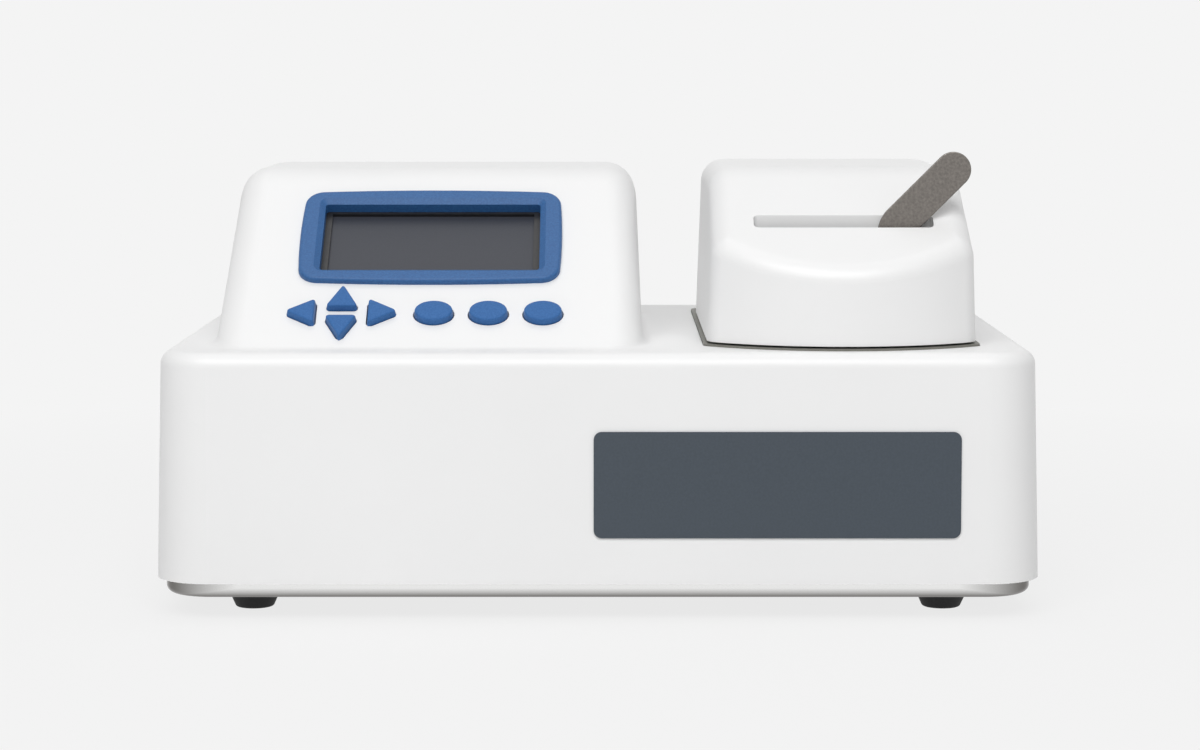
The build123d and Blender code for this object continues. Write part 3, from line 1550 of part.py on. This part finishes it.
with BuildPart() as usb_port:
    with BuildSketch(rear_face.offset(-usb_proud)):
        with Locations((usb_offset, 0)):
            Rectangle(usb_width, usb_height)
            Rectangle(usb_width - 2 * usb_wall, usb_height - 2 * usb_wall, mode=Mode.SUBTRACT)
    extrude(amount=usb_depth)
    with BuildSketch(rear_face.offset(usb_depth - usb_proud)):
        with Locations((usb_offset, 0)):
            Rectangle(usb_width, usb_height)
    extrude(amount=usb_wall)
    with BuildSketch(rear_face.offset(usb_depth - usb_proud)):
        with Locations((usb_offset, 0)):
            Rectangle(usb_tongue_width, usb_tongue_height)
    extrude(amount=-usb_tongue_length)
keep(usb_port, "usb_port")
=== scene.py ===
# %% [markdown]
# A water activity meter in Blender
# The meter is a bench-top instrument: a white moulded case with a sloping display and keypad on the left,
# and a hinged lid with a steel lever over the sample chamber on the right.
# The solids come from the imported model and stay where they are. This lesson gives them their finishes and
# makes richer meshes for the seven keys.

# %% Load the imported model
import bpy
from math import cos, pi, radians, sin, sqrt
from mathutils import Matrix, Vector


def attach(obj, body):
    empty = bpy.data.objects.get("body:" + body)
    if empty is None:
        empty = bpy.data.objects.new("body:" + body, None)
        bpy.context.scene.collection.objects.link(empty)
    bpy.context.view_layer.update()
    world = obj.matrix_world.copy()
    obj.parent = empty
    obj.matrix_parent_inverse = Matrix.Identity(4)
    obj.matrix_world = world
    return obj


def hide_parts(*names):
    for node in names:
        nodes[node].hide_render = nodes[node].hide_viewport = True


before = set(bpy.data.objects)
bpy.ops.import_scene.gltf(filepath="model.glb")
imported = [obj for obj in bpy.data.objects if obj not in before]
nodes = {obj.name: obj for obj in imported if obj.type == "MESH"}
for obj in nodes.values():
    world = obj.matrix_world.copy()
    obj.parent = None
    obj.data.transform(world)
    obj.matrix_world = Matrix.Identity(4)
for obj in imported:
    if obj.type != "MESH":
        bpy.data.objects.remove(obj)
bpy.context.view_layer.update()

print("solids in the frame:", len(nodes))


# %% [markdown]
# Blender works in metres and the drawings are in millimetres, so one small function turns the one into
# the other. Points are given as the drawings give them: X to the right, Y to the back, Z up.

# %% Millimetres to metres
def mm(*values):
    metres = [value / 1000 for value in values]
    return metres[0] if len(metres) == 1 else Vector(metres)


print("one hundred millimetres are", mm(100), "metres")

# %% [markdown]
# The camera's place and lens come from a fit to the meter's corners, deck and feet in the photo. The lens
# is long. It stands a little above the deck and looks down by about six degrees, so upright edges stay
# almost upright.

# %% Camera
eye = mm(0.64, -943.26, 167.59)
tilt_down = radians(6.2347)
camera_data = bpy.data.cameras.new("photo_camera")
camera_data.lens = 87.16
camera_data.sensor_width = 36
camera = bpy.data.objects.new("photo_camera", camera_data)
camera.location = eye
camera.rotation_euler = (pi / 2 - tilt_down, 0, 0)
bpy.context.scene.collection.objects.link(camera)
bpy.context.scene.camera = camera
print("camera at", tuple(round(value, 3) for value in camera.location))


# %% [markdown]
# Colours are given as hex values, the way a paint chart gives them. Blender's shaders want linear
# light instead, so one function undoes the screen's curve.

# %% Colours
def linear(hex_colour):
    channels = [int(hex_colour[place:place + 2], 16) / 255 for place in (1, 3, 5)]
    straight = [c / 12.92 if c <= 0.04045 else ((c + 0.055) / 1.055) ** 2.4 for c in channels]
    return (*straight, 1.0)


backdrop_white = linear("#F4F4F4")
print("backdrop in linear light:", [round(channel, 3) for channel in backdrop_white])


# %% [markdown]
# Every finish below is a small tree of shader nodes. This helper adds one node, sets its properties and
# its inputs, and links whatever is given as a socket, so that a tree reads from top to bottom.

# %% One function that adds a node
def add(tree, kind, settings=None, **inputs):
    node = tree.nodes.new(kind)
    for name, value in (settings or {}).items():
        setattr(node, name, value)
    for name, value in inputs.items():
        socket = node.inputs[int(name[1:])] if name[0] == "_" else node.inputs[name.replace("_", " ")]
        if isinstance(value, bpy.types.NodeSocket):
            tree.links.new(value, socket)
        else:
            socket.default_value = value
    return node


def new_finish(name):
    finish = bpy.data.materials.new(name)
    finish.use_nodes = True
    finish.node_tree.nodes.clear()
    return finish, finish.node_tree


def close_finish(tree, shader):
    add(tree, "ShaderNodeOutputMaterial", Surface=shader.outputs[0])


print("node helper ready")

# %% [markdown]
# The object stands on a pale sheet in a pale room. What the camera sees of the sheet is mostly its own even
# white, as on a light table, and reflections and clear pieces show the same white. Close to the meter some
# plain paper is mixed in, which takes its soft shadow. One function says which rays get the even white.

# %% Floor
def background_rays(tree):
    rays = add(tree, "ShaderNodeLightPath")
    straight = add(tree, "ShaderNodeMath", {"operation": "MAXIMUM"}, _0=rays.outputs["Is Camera Ray"],
                   _1=rays.outputs["Is Transmission Ray"])
    return add(tree, "ShaderNodeMath", {"operation": "MAXIMUM"}, _0=straight.outputs[0],
               _1=rays.outputs["Is Glossy Ray"]).outputs[0]


floor_size = mm(6000)
shadow_reach = mm(150)
paper_reach = mm(500)
white_share_near = 0.88
bpy.ops.object.select_all(action="DESELECT")
bpy.ops.mesh.primitive_plane_add(size=floor_size, location=(0, 0, 0))
floor = bpy.context.object
floor.name = "floor"
finish, tree = new_finish("pale_paper_floor")
spot = add(tree, "ShaderNodeTexCoord")
away = add(tree, "ShaderNodeVectorMath", {"operation": "LENGTH"}, _0=spot.outputs["Object"])
own_white = add(tree, "ShaderNodeMapRange", Value=away.outputs["Value"], From_Min=shadow_reach,
                From_Max=paper_reach, To_Min=white_share_near, To_Max=1.0)
share = add(tree, "ShaderNodeMath", {"operation": "MULTIPLY"}, _0=background_rays(tree),
            _1=own_white.outputs[0])
paper = add(tree, "ShaderNodeBsdfDiffuse", Color=backdrop_white)
glow = add(tree, "ShaderNodeEmission", Color=backdrop_white, Strength=1.0)
sheet = add(tree, "ShaderNodeMixShader", _0=share.outputs[0], _1=paper.outputs[0], _2=glow.outputs[0])
close_finish(tree, sheet)
floor.data.materials.append(finish)
print("floor", floor_size, "m wide")

# %% [markdown]
# The room gives an even light from all sides. The camera, reflections and clear pieces see it at the full
# white of the backdrop; for matte light it is much weaker, so that white plastic doesn't clip.

# %% Room light
world = bpy.data.worlds.new("pale_room")
bpy.context.scene.world = world
world.use_nodes = True
tree = world.node_tree
tree.nodes.clear()
room_strength = 0.27
room = add(tree, "ShaderNodeBackground", Color=(1, 1, 1, 1), Strength=room_strength)
backdrop = add(tree, "ShaderNodeBackground", Color=backdrop_white, Strength=1.0)
mixed = add(tree, "ShaderNodeMixShader", _0=background_rays(tree), _1=room.outputs[0],
            _2=backdrop.outputs[0])
add(tree, "ShaderNodeOutputWorld", Surface=mixed.outputs[0])
print("room strength", room_strength)


# %% [markdown]
# Most light comes from a wide soft box in front of the meter and above it, which makes the sloping panel
# the brightest face and the front a little darker. A weak one overhead lifts the tops of hump and lid.

# %% Soft boxes
def soft_box(name, place, aim, width, height, watts):
    data = bpy.data.lights.new(name, "AREA")
    data.shape = "RECTANGLE"
    data.size = mm(width)
    data.size_y = mm(height)
    data.energy = watts
    lamp = bpy.data.objects.new(name, data)
    lamp.location = mm(*place)
    lamp.rotation_euler = (mm(*aim) - lamp.location).to_track_quat("-Z", "Y").to_euler()
    bpy.context.scene.collection.objects.link(lamp)


soft_box("front_box", place=(-150, -1400, 1500), aim=(0, 0, 70), width=1800, height=1100, watts=26.5)
soft_box("top_box", place=(0, 200, 1700), aim=(0, 0, 80), width=1600, height=900, watts=4.5)
bpy.context.scene.view_settings.view_transform = "Standard"
print("two soft boxes")

# %% [markdown]
# A pattern repeats at a real size: the grain of a mould, the scratches of a brush. Noise in Blender takes
# its scale in repeats per metre, so the helper turns a spacing in millimetres into a scale. Patterns read
# Object coordinates, because every piece sits unturned at the origin and its place is in its mesh. Most of
# the noise lies between 0.3 and 0.7, so that span is stretched over the whole range. A Mix node has sockets
# for several kinds of value, and the ones for colours are its inputs 6 and 7 and its output 2.

# %% Patterns in real sizes
noise_low = 0.3
noise_high = 0.7
first_colour = 6
second_colour = 7
mixed_colour = 2


def per_metre(spacing):
    return 1000 / spacing


def grain(tree, spacing, detail=2.0, stretch=(1, 1, 1)):
    place = add(tree, "ShaderNodeTexCoord")
    scaled = add(tree, "ShaderNodeMapping", Vector=place.outputs["Object"], Scale=stretch)
    return add(tree, "ShaderNodeTexNoise", Vector=scaled.outputs[0], Scale=per_metre(spacing),
               Detail=detail)


def between(tree, pattern, low, high):
    return add(tree, "ShaderNodeMapRange", Value=pattern.outputs[0], From_Min=noise_low,
               From_Max=noise_high, To_Min=low, To_Max=high).outputs[0]


def blend(tree, share, first, second):
    mix = add(tree, "ShaderNodeMix", {"data_type": "RGBA"}, _0=share)
    mix.inputs[first_colour].default_value = linear(first)
    mix.inputs[second_colour].default_value = linear(second)
    return mix.outputs[mixed_colour]


def two_shades(tree, pattern, first, second):
    return blend(tree, between(tree, pattern, 0, 1), first, second)


def raised(tree, pattern, height, strength):
    bump = add(tree, "ShaderNodeBump", Height=pattern.outputs[0], Distance=mm(height), Strength=strength)
    return bump.outputs[0]


print("a 2 mm grain has the scale", per_metre(2))

# %% [markdown]
# The case and the lid are injection-moulded ABS, a hard white plastic from a mould with a satin polish. The
# eye gets soft, broad highlights and hardly any grain, so the bump is a few hundredths of a millimetre at
# most and the roughness changes only a little from place to place. ABS has an IOR of about 1.53.

# %% Moulded white ABS
white_abs, tree = new_finish("moulded_white_abs")
flow = grain(tree, 60)
peel = grain(tree, 1.4)
plastic = add(tree, "ShaderNodeBsdfPrincipled", Base_Color=two_shades(tree, flow, "#F1F1F1", "#F3F3F3"),
              Roughness=between(tree, flow, 0.34, 0.42), IOR=1.53, Normal=raised(tree, peel, 0.012, 0.5))
close_finish(tree, plastic)
print(white_abs.name)

# %% [markdown]
# The bezel round the display is moulded in mid-blue plastic with a grained mould. The grain breaks up the
# highlights into a fine sparkle, which is the bump here. Real grain is about 0.2 mm, too fine for a render
# of the whole meter, so it is drawn at 0.6 mm.

# %% Grained blue plastic
blue_plastic, tree = new_finish("grained_blue_plastic")
sparkle = grain(tree, 0.6, detail=3)
plastic = add(tree, "ShaderNodeBsdfPrincipled", Base_Color=two_shades(tree, sparkle, "#1F538A", "#2B629B"),
              Roughness=0.52, IOR=1.53, Normal=raised(tree, sparkle, 0.08, 0.7))
close_finish(tree, plastic)
print(blue_plastic.name)

# %% [markdown]
# The keys are silicone rubber of nearly the same blue. Rubber scatters light in its surface and never
# shines, so it is rougher than the bezel and has a little sheen at its edges.

# %% Blue silicone rubber
blue_rubber, tree = new_finish("blue_silicone_rubber")
fine = grain(tree, 0.5, detail=3)
rubber = add(tree, "ShaderNodeBsdfPrincipled", Base_Color=two_shades(tree, fine, "#295E9A", "#356BA9"),
             Roughness=0.62, IOR=1.43, Sheen_Weight=0.15, Sheen_Roughness=0.4,
             Normal=raised(tree, fine, 0.05, 0.6))
close_finish(tree, rubber)
print(blue_rubber.name)

# %% [markdown]
# The display is off, so its film is an even slate grey behind glass. Glass gives it a smooth, faint
# reflection of the room, which a coat on top of a matte grey does without any ray passing through.

# %% Unlit display
display_grey, tree = new_finish("unlit_display_film")
cells = grain(tree, 0.5)
film = add(tree, "ShaderNodeBsdfPrincipled", Base_Color=two_shades(tree, cells, "#292C35", "#2D3039"),
           Roughness=0.5, Coat_Weight=0.05, Coat_Roughness=0.2)
close_finish(tree, film)
print(display_grey.name)

# %% [markdown]
# The plate on the front is a dark grey-blue film. Its colour is printed on the back, so the face keeps a
# fine satin grain.

# %% Printed film of the front plate
slate_film, tree = new_finish("slate_printed_film")
fine = grain(tree, 0.7)
film = add(tree, "ShaderNodeBsdfPrincipled", Base_Color=two_shades(tree, fine, "#3B444D", "#3F4852"),
           Roughness=0.48, IOR=1.5, Normal=raised(tree, fine, 0.01, 0.5))
close_finish(tree, film)
print(slate_film.name)

# %% [markdown]
# The lever is stainless steel sheet, tumbled after stamping so that its faces are dull grey with short
# random scratches and small pits. Metal has no colour but its reflection, so a dark grey tint and a high
# roughness give the tone that it has in a pale room.

# %% Tumbled stainless steel
lever_steel, tree = new_finish("tumbled_stainless_steel")
pits = grain(tree, 0.8, detail=5)
scratches = grain(tree, 0.6, detail=3, stretch=(1, 1, 0.25))
metal = add(tree, "ShaderNodeBsdfPrincipled", Base_Color=two_shades(tree, pits, "#6E6A66", "#847F7A"),
            Metallic=1.0, Roughness=between(tree, scratches, 0.42, 0.6),
            Normal=raised(tree, pits, 0.04, 0.6))
close_finish(tree, metal)
print(lever_steel.name)

# %% [markdown]
# The pan under the case is bright rolled steel. Rolling leaves very fine lines along the sheet, so the
# noise is stretched along X and only changes the roughness. On the real one the lower edge and the corners
# look darker and warmer, most likely because they mirror darker things nearby. This room is even and has
# nothing dark in it, so the shade is painted in: two ramps along Z and X mark those places, and the stronger
# one mixes it in. It is matched and isn't a property of the steel, and it also covers the side walls.

# %% Bright rolled steel
pan_bottom = 6.8
pan_bend_top = 9.8
pan_corner_start = 108
pan_corner_end = 130
pan_steel, tree = new_finish("bright_rolled_steel")
lines = grain(tree, 0.5, stretch=(0.02, 1, 1))
place = add(tree, "ShaderNodeTexCoord")
axes = add(tree, "ShaderNodeSeparateXYZ", Vector=place.outputs["Object"])
sideways = add(tree, "ShaderNodeMath", {"operation": "ABSOLUTE"}, _0=axes.outputs["X"])
# Painted dark reflection: the steel's colour turns dark warm grey towards the bottom edge and the corners.
low_edge = add(tree, "ShaderNodeMapRange", Value=axes.outputs["Z"], From_Min=mm(pan_bend_top),
               From_Max=mm(pan_bottom), To_Min=0.0, To_Max=1.0)
corner = add(tree, "ShaderNodeMapRange", Value=sideways.outputs[0], From_Min=mm(pan_corner_start),
             From_Max=mm(pan_corner_end), To_Min=0.0, To_Max=1.0)
painted_reflection_share = add(tree, "ShaderNodeMath", {"operation": "MAXIMUM"}, _0=low_edge.outputs[0], _1=corner.outputs[0])
shade = blend(tree, painted_reflection_share.outputs[0], "#F2F2F1", "#504C48")
metal = add(tree, "ShaderNodeBsdfPrincipled", Base_Color=shade, Metallic=1.0,
            Roughness=between(tree, lines, 0.1, 0.16))
close_finish(tree, metal)
print(pan_steel.name)

# %% [markdown]
# The feet and the seal are black rubber, which is never quite black and never shiny.

# %% Black rubber
black_rubber, tree = new_finish("moulded_black_rubber")
fine = grain(tree, 0.9)
rubber = add(tree, "ShaderNodeBsdfPrincipled", Base_Color=two_shades(tree, fine, "#1F1F20", "#29292A"),
             Roughness=0.7, IOR=1.5, Normal=raised(tree, fine, 0.03, 0.6))
close_finish(tree, rubber)
print(black_rubber.name)

# %% [markdown]
# Frames, fans and switches are black nylon, and so are the mains inlet and its fuse drawer. Nylon is a
# little glossier than rubber and slightly uneven.

# %% Black nylon
black_nylon, tree = new_finish("moulded_black_nylon")
fine = grain(tree, 1.2)
plastic = add(tree, "ShaderNodeBsdfPrincipled", Base_Color=two_shades(tree, fine, "#141416", "#1C1C1E"),
              Roughness=between(tree, fine, 0.38, 0.5), IOR=1.53)
close_finish(tree, plastic)
print(black_nylon.name)

# %% [markdown]
# The plate round the lid, the lid's underside and the rear panel are steel sheet with a warm grey powder
# coat. Powder melts into a surface with a soft orange peel about two millimetres across.

# %% Grey powder coat
grey_coat, tree = new_finish("warm_grey_powder_coat")
peel = grain(tree, 1.8)
paint = add(tree, "ShaderNodeBsdfPrincipled", Base_Color=two_shades(tree, peel, "#74736C", "#7C7B74"),
            Roughness=0.5, IOR=1.5, Normal=raised(tree, peel, 0.03, 0.5))
close_finish(tree, paint)
print(grey_coat.name)


# %% [markdown]
# The other metal parts differ mostly in tint and polish: zinc-plated steel for screws, hinge, brackets,
# pins, latch arm, contacts and the two data ports, milled aluminium for the chamber, the sensor block and
# the heat sink, folded aluminium for the power supply's case, a gold-plated can for the infrared sensor and
# a polished mirror.

# %% Small metals
def metal_finish(name, first, second, dull, bright, spacing, stretch=(1, 1, 1)):
    finish, tree = new_finish(name)
    marks = grain(tree, spacing, detail=3, stretch=stretch)
    metal = add(tree, "ShaderNodeBsdfPrincipled", Base_Color=two_shades(tree, marks, first, second),
                Metallic=1.0, Roughness=between(tree, marks, bright, dull))
    close_finish(tree, metal)
    return finish


zinc_plate = metal_finish("zinc_plated_steel", "#A9AAAC", "#B9BABD", 0.38, 0.28, 1.5)
milled_aluminium = metal_finish("milled_aluminium", "#C6C7C9", "#D2D3D5", 0.34, 0.26, 0.8, (1, 0.05, 1))
folded_aluminium = metal_finish("folded_aluminium_case", "#B4B5B6", "#C2C3C4", 0.5, 0.4, 1.0)
gold_can = metal_finish("gold_plated_can", "#C9A45C", "#D8B56C", 0.3, 0.22, 1.0)
cold_mirror = metal_finish("polished_mirror", "#DADBDD", "#DEDFE0", 0.06, 0.04, 4.0)
print("five metals")

# %% [markdown]
# Circuit boards are woven glass and resin under green lacquer; the weave shows as a faint check. The
# thermoelectric module has faces of white ceramic, and the lever's rivet has a white enamelled cap.

# %% Boards, ceramic and enamel
board_green, tree = new_finish("green_lacquered_board")
weave = add(tree, "ShaderNodeTexChecker", Vector=add(tree, "ShaderNodeTexCoord").outputs["Object"],
            Scale=per_metre(1.6), Color1=linear("#1E6A3A"), Color2=linear("#236F40"))
lacquer = add(tree, "ShaderNodeBsdfPrincipled", Base_Color=weave.outputs[0], Roughness=0.35,
              Coat_Weight=0.3)
close_finish(tree, lacquer)
white_ceramic, tree = new_finish("white_alumina_ceramic")
speck = grain(tree, 2.5)
ceramic = add(tree, "ShaderNodeBsdfPrincipled", Base_Color=two_shades(tree, speck, "#E4E3DE", "#ECEBE7"),
              Roughness=0.45, IOR=1.7)
close_finish(tree, ceramic)
white_enamel, tree = new_finish("white_enamelled_cap")
speck = grain(tree, 2.0)
enamel = add(tree, "ShaderNodeBsdfPrincipled", Base_Color=two_shades(tree, speck, "#F0F0F0", "#F4F4F4"),
             Roughness=0.3, IOR=1.5)
close_finish(tree, enamel)
print("board, ceramic and enamel")

# %% [markdown]
# Each solid now takes its finish. A solid keeps its object and its mesh; only the material slot changes.

# %% Give every solid its finish
worn_by = {
    white_abs: ["upper_housing", "lid_shell"],
    blue_plastic: ["display_bezel"],
    blue_rubber: [name for name in nodes if name.endswith("_key")],
    display_grey: ["display_glass"],
    slate_film: ["label_plate"],
    lever_steel: ["latch_lever"],
    pan_steel: ["bottom_pan"],
    black_rubber: ["rubber_feet", "chamber_seal"],
    black_nylon: ["display_frame", "key_switches", "fan_frame", "fan_rotor", "circulation_fan",
                  "power_inlet", "fuse_drawer", "power_switch"],
    grey_coat: ["chamber_plate", "lid_base_plate", "rear_panel"],
    zinc_plate: ["pan_screws", "foot_screws", "board_screws", "supply_screws", "chamber_screws",
                 "lid_screws", "hinge_screws", "rear_panel_screws", "strike_bracket", "strike_pin",
                 "lid_hinge_leaf", "hinge_bracket", "hinge_pin", "lever_bracket", "lever_pin", "latch_arm",
                 "inlet_contacts", "serial_port", "usb_port"],
    milled_aluminium: ["chamber_block", "sensor_block", "heat_sink"],
    folded_aluminium: ["power_supply"],
    gold_can: ["infrared_sensor"],
    cold_mirror: ["dew_point_mirror"],
    board_green: ["display_board", "keypad_board", "main_board", "sensor_board"],
    white_ceramic: ["thermoelectric_module"],
    white_enamel: ["lever_rivet"],
}
for finish, names in worn_by.items():
    for name in names:
        nodes[name].data.materials.clear()
        nodes[name].data.materials.append(finish)
bare = set(nodes) - {name for names in worn_by.values() for name in names}
print("solids with a finish:", sum(len(names) for names in worn_by.values()), "without:", sorted(bare))

# %% [markdown]
# The sloping panel is the drawing board for everything on it. This matrix carries a piece that was modelled
# flat, lying in X and Y with its face up, onto the slope: it is turned about the panel's foot.

# %% The sloping panel
panel_foot = mm(0, -76, 80.5)
panel_turn = radians(37)
panel = Matrix.Translation(panel_foot) @ Matrix.Rotation(panel_turn, 4, "X")
panel_wall = 3.0
print("panel foot at", tuple(round(value, 4) for value in panel_foot))


# %% [markdown]
# Operators work on whatever is selected, so each new piece starts with an empty selection. The second
# helper works in edit mode: it selects the corners of the piece whose place passes a small test.

# %% Selecting by place
def fresh():
    if bpy.context.object and bpy.context.object.mode == "EDIT":
        bpy.ops.object.mode_set(mode="OBJECT")
    bpy.ops.object.select_all(action="DESELECT")


def choose_corners(piece, wanted):
    bpy.ops.mesh.select_mode(type="VERT")
    bpy.ops.mesh.select_all(action="DESELECT")
    bpy.ops.object.mode_set(mode="OBJECT")
    for corner in piece.data.vertices:
        corner.select = wanted(corner.co)
    bpy.ops.object.mode_set(mode="EDIT")


print("selection helpers ready")


# %% [markdown]
# Every finished piece goes through the same last steps: it is put in its place, the place goes into the
# mesh, its faces are smoothed up to a crease angle, and it is handed to the body that carries it. From then
# on it is shown instead of the plain solid of the same piece.

# %% Handing a piece over
crease_angle = radians(35)


def hand_over(piece, name, place, finish, body, instead_of):
    bpy.ops.object.mode_set(mode="OBJECT")
    piece.name = name
    piece.data.name = name
    piece.matrix_world = place
    bpy.ops.object.transform_apply(location=True, rotation=True, scale=True)
    bpy.ops.object.shade_smooth_by_angle(angle=crease_angle)
    piece.data.materials.clear()
    piece.data.materials.append(finish)
    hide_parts(instead_of)
    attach(piece, body)
    print(name, len(piece.data.polygons), "faces")


# %% [markdown]
# A silicone key is a soft block: straight where it passes through the panel, leaning in above it, with a
# rounded rim and a top that swells a little. It is raised from a flat outline in rings. Each ring is an
# extrusion upwards, and then a scaling that draws the new face in by a set distance. The rim's rings follow
# a quarter circle, so five of them already look round. The flange and the plunger that the solid has lie
# out of sight behind the panel, so they aren't made here.

# %% Raising a key from its outline
key_height = 2.35
key_lean = 0.2
key_rim = 0.6
key_swell = 0.12
rim_rings = 5
rim_foot = key_height - key_swell - key_rim
key_rings = [(0, 0), (rim_foot, key_lean)]
for ring in range(1, rim_rings + 1):
    turn = radians(90 * ring / rim_rings)
    key_rings.append((rim_foot + key_rim * sin(turn), key_lean + key_rim * (1 - cos(turn))))
key_rings.append((key_height, key_lean + 2 * key_rim))


def raise_key(reach_x, reach_y, centre_y):
    bpy.ops.mesh.select_mode(type="FACE")
    bpy.ops.mesh.select_all(action="SELECT")
    bpy.ops.transform.translate(value=mm(0, 0, -panel_wall))
    height = -panel_wall
    drawn_in = 0
    for next_height, next_in in key_rings:
        rise = mm(0, 0, next_height - height)
        bpy.ops.mesh.extrude_region_move(TRANSFORM_OT_translate={"value": rise})
        shrink_x = (reach_x - next_in) / (reach_x - drawn_in)
        shrink_y = (reach_y - next_in) / (reach_y - drawn_in)
        middle = mm(0, centre_y, next_height)
        bpy.ops.transform.resize(value=(shrink_x, shrink_y, 1), center_override=middle)
        height = next_height
        drawn_in = next_in
    bpy.ops.mesh.select_all(action="SELECT")
    bpy.ops.mesh.normals_make_consistent(inside=False)


print("a key stands", key_height, "mm out of the panel")

# %% [markdown]
# The three oval keys start as a filled circle that is stretched to their width and height. Each is its own
# mesh, because each moves on its own.

# %% Oval keys
key_row = 15.6
oval_width = 11.9
oval_height = 9.0
oval_pitch = 16.6
oval_middle = -33.3
oval_corners = 64
for place, name in enumerate(("left_oval_key", "middle_oval_key", "right_oval_key"), start=-1):
    fresh()
    bpy.ops.mesh.primitive_circle_add(vertices=oval_corners, radius=1, fill_type="NGON", location=(0, 0, 0))
    key = bpy.context.object
    bpy.ops.object.mode_set(mode="EDIT")
    bpy.ops.transform.resize(value=(mm(oval_width / 2), mm(oval_height / 2), 1), center_override=(0, 0, 0))
    raise_key(oval_width / 2, oval_height / 2, 0)
    spot = panel @ Matrix.Translation(mm(oval_middle + place * oval_pitch, key_row, 0))
    hand_over(key, name + "_cap", spot, blue_rubber, name.replace("_key", "_button"),
              instead_of=name)

# %% [markdown]
# An arrow key starts as a square whose two upper corners are merged into one, which makes a triangle that
# points up. Its corners are rounded with a vertex bevel before it is raised, and then it is turned to the
# way it points. Its rings are drawn in towards the centre of the circle that fits inside the triangle, so
# that all three sides lean by the same amount.

# %% Arrow keys
cross = mm(-77.95, key_row, 0)
arrow_corner = 1.3
corner_steps = 6
side_arrow = {"width": 11.4, "length": 9.4, "start": 7.95}
upright_arrow = {"width": 10.4, "length": 10.4, "start": 1.85}
arrows = {
    "right_arrow_key": (-90, side_arrow),
    "up_arrow_key": (0, upright_arrow),
    "left_arrow_key": (90, side_arrow),
    "down_arrow_key": (180, upright_arrow),
}
for name, (turn, arrow) in arrows.items():
    width = arrow["width"]
    length = arrow["length"]
    fresh()
    bpy.ops.mesh.primitive_plane_add(size=2, location=(0, 0, 0))
    key = bpy.context.object
    bpy.ops.object.mode_set(mode="EDIT")
    choose_corners(key, lambda corner: corner.y > 0)
    bpy.ops.mesh.merge(type="CENTER")
    bpy.ops.mesh.select_all(action="SELECT")
    bpy.ops.transform.resize(value=(mm(width / 2), mm(length / 2), 1), center_override=(0, 0, 0))
    bpy.ops.mesh.bevel(offset=mm(arrow_corner), segments=corner_steps, affect="VERTICES")
    side = sqrt(width ** 2 / 4 + length ** 2)
    inner = width * length / (width + 2 * side)
    raise_key(inner, inner, inner - length / 2)
    spot = panel @ Matrix.Translation(cross) @ Matrix.Rotation(radians(turn), 4, "Z")
    spot = spot @ Matrix.Translation(mm(0, arrow["start"] + length / 2, 0))
    hand_over(key, name + "_cap", spot, blue_rubber, name.replace("_key", "_button"),
              instead_of=name)
